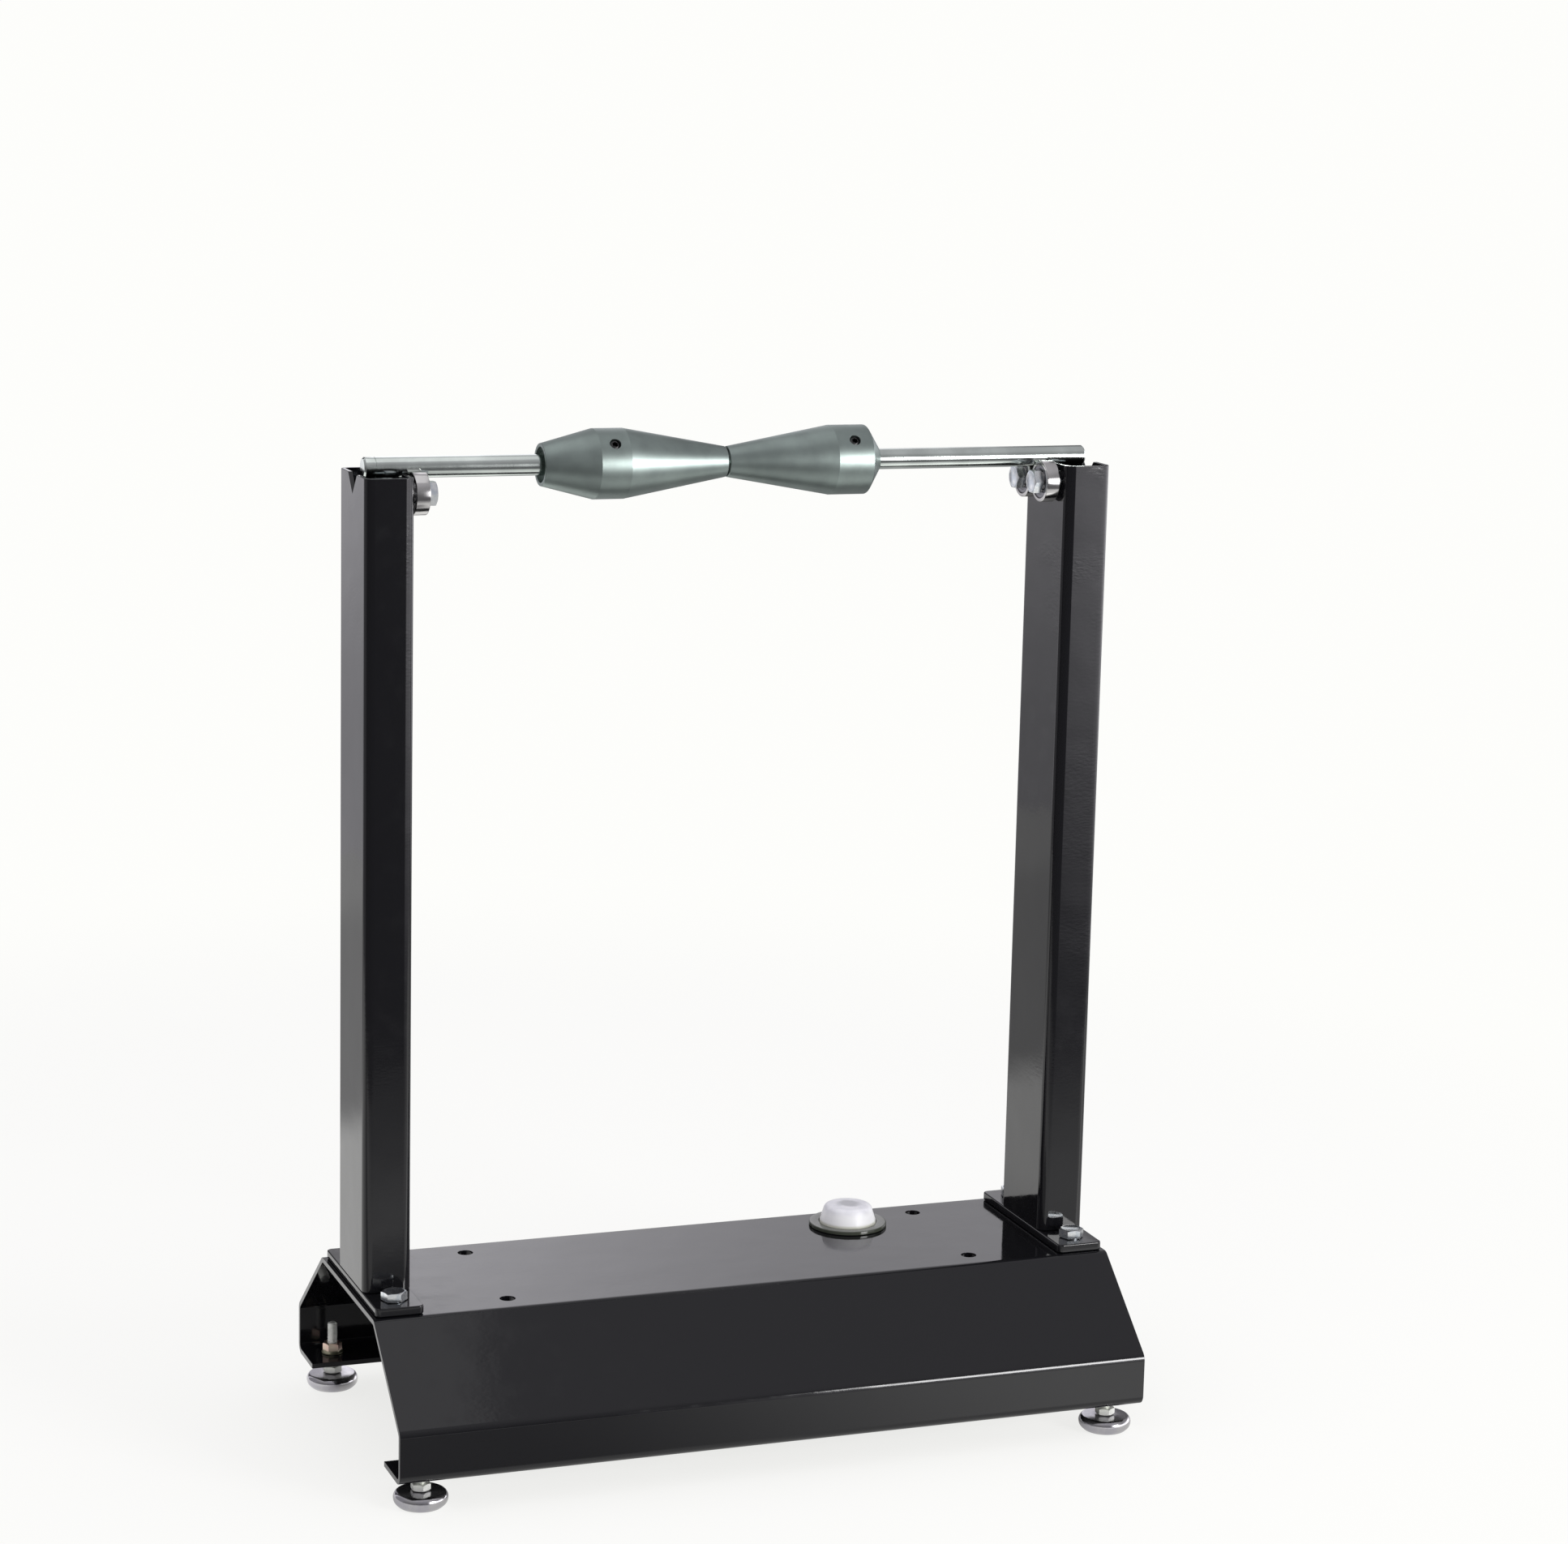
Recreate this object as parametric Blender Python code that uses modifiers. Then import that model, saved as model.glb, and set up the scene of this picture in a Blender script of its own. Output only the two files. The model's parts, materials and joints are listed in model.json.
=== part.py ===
# Motorcycle wheel balancer: a bent sheet base with two box uprights, four ball
# bearing rollers, a balancing shaft with two centring cones, a round bubble level
# and four levelling feet. Metres, +Z up, X along the shaft, Y front to back with the
# front at -Y. The origin is on the floor, under the middle of the base.
import math

import bmesh
import bpy
from mathutils import Matrix, Vector

# Clearances between neighbouring pieces
FIT_GAP = 0.0003
HOLE_CLEARANCE = 0.0005
CUT_OVERRUN = 0.002

# Base channel, bent from one sheet
BASE_LENGTH = 0.450
TOP_DEPTH = 0.120
SLOPE_RUN = 0.058
SLOPE_DROP = 0.047
SKIRT_HEIGHT = 0.030
FLANGE_WIDTH = 0.034
SHEET = 0.003
FOLD_RADIUS = 0.006
SPARE_HOLE_X = 0.1425

# Uprights and the plates that they stand on
UPRIGHT_WIDTH = 0.028
UPRIGHT_DEPTH = 0.060
UPRIGHT_WALL = 0.0025
UPRIGHT_CORNER = 0.0055
UPRIGHT_LENGTH = 0.462
UPRIGHT_INSET = 0.002
NOTCH_WIDTH = 0.019
NOTCH_DEPTH = 0.011
PLATE_DEPTH = 0.116
PLATE_THICKNESS = 0.005
PLATE_CORNER = 0.003

# Hexagon bolts and nuts with an 8 mm thread
THREAD_RADIUS = 0.004
HEX_FLATS = 0.013
HEAD_HEIGHT = 0.0053
NUT_HEIGHT = 0.0065
HEX_FACE_SHARE = 0.95
HEX_CHAMFER = 0.0007
TIP_CHAMFER = 0.0008
PLATE_BOLT_LENGTH = 0.020
ROLLER_BOLT_LENGTH = 0.025

# Rollers: shielded ball bearings, 8 x 24 x 8 mm
ROLLER_RADIUS = 0.012
ROLLER_WIDTH = 0.008
ROLLER_CLEARANCE = 0.0006
RING_WALL = 0.0023
RING_CHAMFER = 0.0004
HUB_WALL = 0.0020
RACE_DEPTH = 0.0004
SHIELD_LIP = 0.0007
SHIELD_SETBACK = 0.0004
SHIELD_THICKNESS = 0.0004
BALL_COUNT = 7
CAGE_WIDTH = 0.0016
CAGE_DEPTH = 0.0008
SPACER_WIDTH = 0.0015

# Balancing shaft
SHAFT_RADIUS = 0.006
SHAFT_END_INSET = 0.0055
SHAFT_CHAMFER = 0.0010
SHAFT_ABOVE_UPRIGHT = 0.0029
GROOVE_FROM_END = 0.0065
GROOVE_WIDTH = 0.0006
GROOVE_DEPTH = 0.0004

# Centring cones: the tips face each other near the middle of the shaft
CONE_RADIUS = 0.020
CONE_TIP_WALL = 0.00245
CONE_EDGE = 0.0004
TIP_SPACING = 0.001
TIPS_MIDDLE_X = -0.0055
LEFT_TAPER_LENGTH = 0.0613
LEFT_BAND_LENGTH = 0.0177
LEFT_BACK_LENGTH = 0.0304
LEFT_BACK_RADIUS = 0.012
LEFT_RIM_WALL = 0.0020
LEFT_RECESS_DEPTH = 0.003
RIGHT_TAPER_LENGTH = 0.0620
RIGHT_BAND_LENGTH = 0.0215
RIGHT_BACK_LENGTH = 0.0087
RIGHT_BACK_WALL = 0.0010

# Socket set screw in each cone
SCREW_RADIUS = 0.003
SCREW_SINK = 0.0008
SCREW_SOCKET_FLATS = 0.003
SCREW_SOCKET_DEPTH = 0.003
SCREW_POINT = 0.0010
SCREW_ELEVATION = math.radians(40)

# Round bubble level on the base
LEVEL_X = 0.095
LEVEL_Y = 0.0325
LEVEL_FLANGE_RADIUS = 0.0235
LEVEL_FLANGE_THICKNESS = 0.0022
LEVEL_FLANGE_EDGE = 0.0005
LEVEL_POCKET_DEPTH = 0.0010
VIAL_RADIUS = 0.0172
VIAL_TOP_RADIUS = 0.0140
VIAL_HEIGHT = 0.0112
VIAL_EDGE = 0.0022
VIAL_CROWN = 0.0005
VIAL_WALL = 0.0020
DIAL_THICKNESS = 0.0010

# Levelling feet: a pad, a stud with a hexagon collar, and a flange nut on the base
FOOT_INSET = 0.0165
PAD_RADIUS = 0.0156
PAD_RIM_HEIGHT = 0.0066
PAD_SHOULDER_RADIUS = 0.0138
PAD_SHOULDER_HEIGHT = 0.0085
PAD_HEIGHT = 0.0090
PAD_SIDE_RADIUS = 0.0149
PAD_SIDE_HEIGHT = 0.0030
PAD_SOLE_RADIUS = 0.0140
SOCKET_DEPTH = 0.0050
STUD_RADIUS = 0.003
STUD_PROUD = 0.019
STUD_CHAMFER = 0.0006
STUD_SHOWING = 0.0047
FOOT_HEX_FLATS = 0.010
COLLAR_HEIGHT = 0.004
FLANGE_NUT_RADIUS = 0.0065
FLANGE_NUT_RIM = 0.0015
FLANGE_NUT_HEIGHT = 0.0063

# Facets
FOLD_STEP = math.radians(18)
CORNER_STEP = math.radians(30)
HEX_SIDES = 6
HEX_STEPS = 12
HOLE_STEPS = 12
RING_STEPS = 18
TURNED_STEPS = 24
BALL_STEPS = 6
BALL_RINGS = 4
EDGE_ARCS = 3
SMOOTH_ANGLE = math.radians(32)
MERGE_DISTANCE = 0.00001

# Heights and places that follow from the sizes above
BASE_BOTTOM = PAD_HEIGHT + FIT_GAP + COLLAR_HEIGHT + STUD_SHOWING
BASE_TOP = BASE_BOTTOM + SKIRT_HEIGHT + SLOPE_DROP
BASE_HALF_DEPTH = TOP_DEPTH / 2 + SLOPE_RUN
PLATE_TOP = BASE_TOP + FIT_GAP + PLATE_THICKNESS
UPRIGHT_BOTTOM = PLATE_TOP + FIT_GAP
UPRIGHT_TOP = UPRIGHT_BOTTOM + UPRIGHT_LENGTH
UPRIGHT_OUTER_X = BASE_LENGTH / 2 - UPRIGHT_INSET
UPRIGHT_INNER_X = UPRIGHT_OUTER_X - UPRIGHT_WIDTH
UPRIGHT_X = UPRIGHT_OUTER_X - UPRIGHT_WIDTH / 2
PLATE_BOLT_Y = (UPRIGHT_DEPTH / 2 + PLATE_DEPTH / 2) / 2
BOLT_BORE = THREAD_RADIUS + FIT_GAP
BOLT_HOLE_RADIUS = THREAD_RADIUS + HOLE_CLEARANCE
HUB_RADIUS = BOLT_BORE + HUB_WALL
RING_LAND = ROLLER_RADIUS - RING_WALL
BALL_CIRCLE = (HUB_RADIUS + RING_LAND) / 2
RACE_RADIUS = (RING_LAND - HUB_RADIUS) / 2 + RACE_DEPTH
BALL_RADIUS = RACE_RADIUS - FIT_GAP
SHAFT_HALF_LENGTH = UPRIGHT_OUTER_X - SHAFT_END_INSET
SHAFT_HEIGHT = UPRIGHT_TOP + SHAFT_ABOVE_UPRIGHT
ROLLER_HALF_SPACING = ROLLER_RADIUS + ROLLER_CLEARANCE
ROLLER_REACH = SHAFT_RADIUS + ROLLER_RADIUS + FIT_GAP
ROLLER_HEIGHT = SHAFT_HEIGHT - math.sqrt(ROLLER_REACH ** 2 - ROLLER_HALF_SPACING ** 2)
CONE_BORE = SHAFT_RADIUS + FIT_GAP
FOOT_X = BASE_LENGTH / 2 - FOOT_INSET
FOOT_Y = BASE_HALF_DEPTH - FLANGE_WIDTH / 2

SIDES = (("left", -1), ("right", 1))
ROWS = (("front", -1), ("rear", 1))


def clear_scene():
    """Remove every object that the file opened with."""
    for item in list(bpy.data.objects):
        bpy.data.objects.remove(item, do_unlink=True)


def new_collection(name):
    """Add a collection under the scene."""
    group = bpy.data.collections.new(name)
    bpy.context.scene.collection.children.link(group)
    return group


def paint(name, colour, roughness, metallic):
    """One Principled material."""
    material = bpy.data.materials.new(name)
    material.use_nodes = True
    shader = material.node_tree.nodes["Principled BSDF"]
    shader.inputs["Base Color"].default_value = (*colour, 1.0)
    shader.inputs["Roughness"].default_value = roughness
    shader.inputs["Metallic"].default_value = metallic
    return material


def arc_corner(before, corner, after, radius, step):
    """The arc that rounds one corner of a path."""
    corner = Vector(corner)
    to_before = (Vector(before) - corner).normalized()
    to_after = (Vector(after) - corner).normalized()
    half_open = to_before.angle(to_after) / 2
    turn = math.pi - 2 * half_open
    centre = corner + (to_before + to_after).normalized() * (radius / math.sin(half_open))
    spoke = corner + to_before * (radius / math.tan(half_open)) - centre
    side = 1 if to_before.cross(to_after) < 0 else -1
    count = max(1, math.ceil(turn / step))
    return [tuple(centre + Matrix.Rotation(side * turn * i / count, 2) @ spoke) for i in range(count + 1)]


def rounded_rectangle(width, depth, radius):
    """A rectangle about the origin with round corners."""
    u = width / 2
    v = depth / 2
    corners = [(u, -v), (u, v), (-u, v), (-u, -v)]
    outline = []
    for i, corner in enumerate(corners):
        outline += arc_corner(corners[i - 1], corner, corners[(i + 1) % len(corners)], radius, CORNER_STEP)
    return outline


def circle(radius, centre_v):
    """A hole's outline, centred on the second axis."""
    turns = [2 * math.pi * i / HOLE_STEPS for i in range(HOLE_STEPS)]
    return [(radius * math.cos(turn), centre_v + radius * math.sin(turn)) for turn in turns]


def scratch_object(data):
    """A short-lived object that only serves to bake a mesh."""
    item = bpy.data.objects.new("scratch", data)
    bpy.context.scene.collection.objects.link(item)
    return item


def baked(item):
    """The evaluated mesh of an object, with its seams welded and its faces outward."""
    bpy.context.view_layer.update()
    graph = bpy.context.evaluated_depsgraph_get()
    mesh = bpy.data.meshes.new_from_object(item.evaluated_get(graph))
    work = bmesh.new()
    work.from_mesh(mesh)
    bmesh.ops.remove_doubles(work, verts=work.verts, dist=MERGE_DISTANCE)
    bmesh.ops.recalc_face_normals(work, faces=work.faces)
    work.to_mesh(mesh)
    work.free()
    return mesh


def smoothed(mesh):
    """Round faces shade smooth, folds and edges stay sharp."""
    mesh.shade_smooth()
    mesh.set_sharp_from_angle(angle=SMOOTH_ANGLE)
    return mesh


def prism_mesh(outlines, height):
    """Flat outlines, holes included, extruded upwards from zero to a height."""
    curve = bpy.data.curves.new("outline", "CURVE")
    curve.dimensions = "2D"
    curve.fill_mode = "BOTH"
    curve.extrude = height / 2
    for outline in outlines:
        spline = curve.splines.new("POLY")
        spline.points.add(len(outline) - 1)
        for point, (u, v) in zip(spline.points, outline):
            point.co = (u, v, 0.0, 1.0)
        spline.use_cyclic_u = True
    item = scratch_object(curve)
    mesh = baked(item)
    mesh.transform(Matrix.Translation((0.0, 0.0, height / 2)))
    bpy.data.objects.remove(item)
    bpy.data.curves.remove(curve)
    return mesh


def along_x(mesh):
    """Lay a prism's first axis along Y, its second along Z and its length along X."""
    mesh.transform(Matrix.Rotation(math.pi / 2, 4, "Z") @ Matrix.Rotation(math.pi / 2, 4, "X"))
    return mesh


def turned_mesh(profile, steps=TURNED_STEPS, ring=False):
    """A profile of (radius, height) turned about Z. A ring's profile is a closed loop."""
    edges = [(i, i + 1) for i in range(len(profile) - 1)]
    if ring:
        edges.append((len(profile) - 1, 0))
    mesh = bpy.data.meshes.new("profile")
    mesh.from_pydata([(radius, 0.0, height) for radius, height in profile], edges, [])
    item = scratch_object(mesh)
    screw = item.modifiers.new("turn", "SCREW")
    screw.steps = steps
    screw.render_steps = steps
    screw.use_merge_vertices = True
    screw.merge_threshold = MERGE_DISTANCE
    turned = baked(item)
    bpy.data.objects.remove(item)
    bpy.data.meshes.remove(mesh)
    return turned


def bar_mesh(radius, low, high, steps=HOLE_STEPS):
    """A plain bar along Z from low to high."""
    mesh = bpy.data.meshes.new("bar")
    work = bmesh.new()
    bmesh.ops.create_cone(work, cap_ends=True, segments=steps, radius1=radius, radius2=radius,
                          depth=high - low)
    bmesh.ops.translate(work, verts=work.verts, vec=(0.0, 0.0, (high + low) / 2))
    work.to_mesh(mesh)
    work.free()
    return mesh


def combined_mesh(first, second, operation):
    """Two meshes joined, cut or intersected into one closed body."""
    item = scratch_object(first)
    tool = scratch_object(second)
    boolean = item.modifiers.new("combine", "BOOLEAN")
    boolean.operation = operation
    boolean.solver = "EXACT"
    boolean.object = tool
    mesh = baked(item)
    bpy.data.objects.remove(item)
    bpy.data.objects.remove(tool)
    return mesh


def hex_mesh(flats, low, high):
    """A hexagonal block from low to high, its upper corners turned off by a cone."""
    corner = flats / 2 / math.cos(math.pi / HEX_SIDES)
    face = HEX_FACE_SHARE * flats / 2
    wide = corner + CUT_OVERRUN
    drop = HEX_CHAMFER * (wide - face) / (corner - face)
    below = low - CUT_OVERRUN
    cone = [(0.0, high), (face, high), (wide, high - drop), (wide, below), (0.0, below)]
    return combined_mesh(bar_mesh(corner, low, high, HEX_SIDES), turned_mesh(cone, HEX_STEPS), "INTERSECT")


def bolt_mesh(length):
    """A hexagon bolt: head above zero, shank and chamfered tip below."""
    inside = HEAD_HEIGHT / 2
    shank = [(0.0, inside), (THREAD_RADIUS, inside), (THREAD_RADIUS, TIP_CHAMFER - length),
             (THREAD_RADIUS - TIP_CHAMFER, -length), (0.0, -length)]
    head = hex_mesh(HEX_FLATS, 0.0, HEAD_HEIGHT)
    return smoothed(combined_mesh(head, turned_mesh(shank, HEX_STEPS), "UNION"))


def nut_mesh():
    """A hexagon nut from zero up, its free face chamfered."""
    bore = bar_mesh(BOLT_BORE, -CUT_OVERRUN, NUT_HEIGHT + CUT_OVERRUN)
    return smoothed(combined_mesh(hex_mesh(HEX_FLATS, 0.0, NUT_HEIGHT), bore, "DIFFERENCE"))


class Model:
    """Collections, materials and the helpers that place the pieces."""

    def __init__(self):
        self.parts = new_collection("wheel_balancer")
        self.cutters = new_collection("cutters")
        self.materials = {
            "black_paint": paint("black_paint", (0.012, 0.012, 0.014), 0.12, 0.0),
            "shaft_chrome": paint("shaft_chrome", (0.62, 0.64, 0.62), 0.12, 1.0),
            "cone_steel": paint("cone_steel", (0.33, 0.36, 0.37), 0.30, 1.0),
            "bearing_steel": paint("bearing_steel", (0.50, 0.50, 0.49), 0.16, 1.0),
            "bright_zinc": paint("bright_zinc", (0.66, 0.68, 0.72), 0.25, 1.0),
            "yellow_zinc": paint("yellow_zinc", (0.62, 0.50, 0.42), 0.30, 1.0),
            "foot_nickel": paint("foot_nickel", (0.40, 0.40, 0.42), 0.20, 1.0),
            "screw_black": paint("screw_black", (0.03, 0.03, 0.03), 0.40, 1.0),
            "level_clear": paint("level_clear", (0.05, 0.06, 0.05), 0.10, 0.0),
            "level_milky": paint("level_milky", (0.80, 0.80, 0.82), 0.15, 0.0),
            "level_dial": paint("level_dial", (0.60, 0.62, 0.62), 0.40, 0.0),
        }

    def frame(self, name, location, rotation=(0.0, 0.0, 0.0)):
        """An empty that carries pieces, on a joint's axis where they move."""
        empty = bpy.data.objects.new(name, None)
        empty.empty_display_size = SHAFT_RADIUS
        empty.location = location
        empty.rotation_euler = rotation
        self.parts.objects.link(empty)
        return empty

    def piece(self, name, mesh, material, location=(0.0, 0.0, 0.0), rotation=(0.0, 0.0, 0.0), parent=None):
        """One named sub-part."""
        item = bpy.data.objects.new(name, mesh)
        if not mesh.materials:
            mesh.materials.append(self.materials[material])
        item.location = location
        item.rotation_euler = rotation
        item.parent = parent
        self.parts.objects.link(item)
        return item

    def cut(self, target, mesh, location=(0.0, 0.0, 0.0), rotation=(0.0, 0.0, 0.0)):
        """Cut a target by a wire-drawn cutter placed in the target's parent frame."""
        tool = bpy.data.objects.new(target.name + "_cutter", mesh)
        tool.location = location
        tool.rotation_euler = rotation
        tool.parent = target.parent
        tool.hide_render = True
        tool.display_type = "WIRE"
        self.cutters.objects.link(tool)
        boolean = target.modifiers.new("cut", "BOOLEAN")
        boolean.operation = "DIFFERENCE"
        boolean.solver = "EXACT"
        boolean.object = tool


def bent_path(points, radius):
    """An open path whose inner corners are bent to a radius."""
    path = [points[0]]
    for before, corner, after in zip(points, points[1:], points[2:]):
        path += arc_corner(before, corner, after, radius, FOLD_STEP)
    return path + [points[-1]]


def channel_section():
    """The sheet's closed section: its outer skin from front to rear, its inner skin back."""
    slope = math.atan2(SLOPE_DROP, SLOPE_RUN)
    skirt_inset = SHEET / math.tan((math.pi / 2 + slope) / 2)
    crown_inset = SHEET / math.tan((math.pi - slope) / 2)
    foot = BASE_HALF_DEPTH
    lip = foot - FLANGE_WIDTH
    ridge = TOP_DEPTH / 2
    crown = SKIRT_HEIGHT + SLOPE_DROP
    outer_rear = [(ridge, crown), (foot, SKIRT_HEIGHT), (foot, 0.0), (lip, 0.0)]
    inner_rear = [(ridge - crown_inset, crown - SHEET), (foot - SHEET, SKIRT_HEIGHT - skirt_inset),
                  (foot - SHEET, SHEET), (lip, SHEET)]
    outer = [(-y, z) for y, z in reversed(outer_rear)] + outer_rear
    inner = [(-y, z) for y, z in reversed(inner_rear)] + inner_rear
    return bent_path(outer, FOLD_RADIUS) + bent_path(inner, FOLD_RADIUS - SHEET)[::-1]


def build_base(model):
    """The channel along X, with bolt holes in its top and stud holes in its flanges."""
    sheet = along_x(prism_mesh([channel_section()], BASE_LENGTH))
    sheet.transform(Matrix.Translation((-BASE_LENGTH / 2, 0.0, 0.0)))
    base = model.piece("base_channel", smoothed(sheet), "black_paint", (0.0, 0.0, BASE_BOTTOM))
    bolt_drill = bar_mesh(BOLT_HOLE_RADIUS, -CUT_OVERRUN, SHEET + CUT_OVERRUN)
    stud_drill = bar_mesh(STUD_RADIUS + HOLE_CLEARANCE, -CUT_OVERRUN, SHEET + CUT_OVERRUN)
    for _, side in SIDES:
        for _, row in ROWS:
            for x in (UPRIGHT_X, SPARE_HOLE_X):
                model.cut(base, bolt_drill, (side * x, row * PLATE_BOLT_Y, BASE_TOP - SHEET))
            model.cut(base, stud_drill, (side * FOOT_X, row * FOOT_Y, BASE_BOTTOM))


def plate_mesh():
    """The flat plate under an upright, with its two bolt holes."""
    outline = rounded_rectangle(UPRIGHT_WIDTH, PLATE_DEPTH, PLATE_CORNER)
    holes = [circle(BOLT_HOLE_RADIUS, row * PLATE_BOLT_Y) for _, row in ROWS]
    return smoothed(prism_mesh([outline] + holes, PLATE_THICKNESS))


def tube_mesh():
    """The box tube of an upright."""
    bore_width = UPRIGHT_WIDTH - 2 * UPRIGHT_WALL
    bore_depth = UPRIGHT_DEPTH - 2 * UPRIGHT_WALL
    outside = rounded_rectangle(UPRIGHT_WIDTH, UPRIGHT_DEPTH, UPRIGHT_CORNER)
    inside = rounded_rectangle(bore_width, bore_depth, UPRIGHT_CORNER - UPRIGHT_WALL)
    return smoothed(prism_mesh([outside, inside], UPRIGHT_LENGTH))


def notch_mesh():
    """The V that the shaft passes through, with its point at zero."""
    rise = NOTCH_DEPTH + CUT_OVERRUN
    reach = rise * NOTCH_WIDTH / 2 / NOTCH_DEPTH
    outline = [(0.0, 0.0), (reach, rise), (-reach, rise)]
    return along_x(prism_mesh([outline], UPRIGHT_WIDTH + 2 * CUT_OVERRUN))


def build_uprights(model):
    """Box tubes on flat plates, each plate held by a bolt in front and one behind."""
    plate = plate_mesh()
    notch = notch_mesh()
    drill = bar_mesh(BOLT_HOLE_RADIUS, -CUT_OVERRUN, UPRIGHT_WALL + CUT_OVERRUN)
    bolt = bolt_mesh(PLATE_BOLT_LENGTH)
    nut = nut_mesh()
    for name, side in SIDES:
        centre = side * UPRIGHT_X
        model.piece(f"{name}_upright_plate", plate, "black_paint", (centre, 0.0, BASE_TOP + FIT_GAP))
        upright = model.piece(f"{name}_upright", tube_mesh(), "black_paint", (centre, 0.0, UPRIGHT_BOTTOM))
        notch_start = centre - UPRIGHT_WIDTH / 2 - CUT_OVERRUN
        model.cut(upright, notch, (notch_start, 0.0, UPRIGHT_TOP - NOTCH_DEPTH))
        for row_name, row in ROWS:
            hole = (side * UPRIGHT_INNER_X, row * ROLLER_HALF_SPACING, ROLLER_HEIGHT)
            model.cut(upright, drill, hole, (0.0, side * math.pi / 2, 0.0))
            y = row * PLATE_BOLT_Y
            label = f"{name}_{row_name}_plate"
            model.piece(label + "_bolt", bolt, "bright_zinc", (centre, y, PLATE_TOP + FIT_GAP))
            model.piece(label + "_nut", nut, "bright_zinc", (centre, y, BASE_TOP - SHEET - FIT_GAP),
                        (math.pi, 0.0, 0.0))


def race(outward):
    """Three points of a ball race, run from its lower edge to its upper one."""
    reach = RACE_RADIUS - RACE_DEPTH
    edge = math.sqrt(RACE_RADIUS ** 2 - reach ** 2)
    return [(BALL_CIRCLE + outward * reach, -edge), (BALL_CIRCLE + outward * RACE_RADIUS, 0.0),
            (BALL_CIRCLE + outward * reach, edge)]


def roller_ring_mesh():
    """Outer ring with a thin shield on each side, open at the hub, and its race inside."""
    half = ROLLER_WIDTH / 2
    outside = half - SHIELD_SETBACK
    inside = outside - SHIELD_THICKNESS
    seat = RING_LAND + SHIELD_LIP
    bore = HUB_RADIUS + FIT_GAP
    upper = [(seat, outside), (seat, half), (ROLLER_RADIUS - RING_CHAMFER, half),
             (ROLLER_RADIUS, half - RING_CHAMFER)]
    shield = [(RING_LAND, inside), (bore, inside), (bore, outside)]
    skin = upper + [(radius, -height) for radius, height in reversed(upper)]
    lower_shield = [(radius, -height) for radius, height in reversed(shield)]
    return smoothed(turned_mesh(skin + lower_shield + race(1) + shield, RING_STEPS, ring=True))


def roller_hub_mesh():
    """Inner ring with its race outside and its bore on the bolt."""
    half = ROLLER_WIDTH / 2
    upper = [(BOLT_BORE, half), (HUB_RADIUS, half)]
    lower = [(HUB_RADIUS, -half), (BOLT_BORE, -half)]
    return smoothed(turned_mesh(upper + race(-1)[::-1] + lower, HOLE_STEPS, ring=True))


def ball_mesh(turn):
    """One ball on the ball circle, a turn away from the first."""
    mesh = bpy.data.meshes.new("ball")
    work = bmesh.new()
    bmesh.ops.create_uvsphere(work, u_segments=BALL_STEPS, v_segments=BALL_RINGS, radius=BALL_RADIUS)
    work.transform(Matrix.Rotation(turn, 4, "Z") @ Matrix.Translation((BALL_CIRCLE, 0.0, 0.0)))
    work.to_mesh(mesh)
    work.free()
    return mesh


def roller_balls_mesh():
    """The balls in their cage, a thin ring on the ball circle."""
    inner = BALL_CIRCLE - CAGE_DEPTH / 2
    outer = BALL_CIRCLE + CAGE_DEPTH / 2
    half = CAGE_WIDTH / 2
    steps = 2 * BALL_COUNT
    cage = turned_mesh([(outer, half), (outer, -half), (inner, -half), (inner, half)], steps, ring=True)
    for index in range(BALL_COUNT):
        cage = combined_mesh(cage, ball_mesh(2 * math.pi * index / BALL_COUNT), "UNION")
    return smoothed(cage)


def build_rollers(model):
    """Four shielded bearings bolted to the inner faces of the uprights."""
    ring = roller_ring_mesh()
    hub = roller_hub_mesh()
    balls = roller_balls_mesh()
    bolt = bolt_mesh(ROLLER_BOLT_LENGTH)
    nut = nut_mesh()
    washer = [(HUB_RADIUS, SPACER_WIDTH), (HUB_RADIUS, 0.0), (BOLT_BORE, 0.0), (BOLT_BORE, SPACER_WIDTH)]
    spacer = smoothed(turned_mesh(washer, HOLE_STEPS, ring=True))
    spacer_x = UPRIGHT_INNER_X - FIT_GAP - SPACER_WIDTH
    roller_x = spacer_x - FIT_GAP - ROLLER_WIDTH / 2
    head_x = roller_x - ROLLER_WIDTH / 2 - FIT_GAP
    nut_x = UPRIGHT_INNER_X + UPRIGHT_WALL + FIT_GAP
    for name, side in SIDES:
        outward = (0.0, side * math.pi / 2, 0.0)
        inward = (0.0, -side * math.pi / 2, 0.0)
        for row_name, row in ROWS:
            label = f"{name}_{row_name}_roller"
            level = (row * ROLLER_HALF_SPACING, ROLLER_HEIGHT)
            axle = model.frame(label + "_axle", (side * roller_x, *level), outward)
            model.piece(label + "_ring", ring, "bearing_steel", parent=axle)
            model.piece(label + "_hub", hub, "bearing_steel", parent=axle)
            model.piece(label + "_balls", balls, "bearing_steel", parent=axle)
            model.piece(label + "_spacer", spacer, "bright_zinc", (side * spacer_x, *level), outward)
            model.piece(label + "_bolt", bolt, "bright_zinc", (side * head_x, *level), inward)
            model.piece(label + "_nut", nut, "bright_zinc", (side * nut_x, *level), outward)


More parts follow.
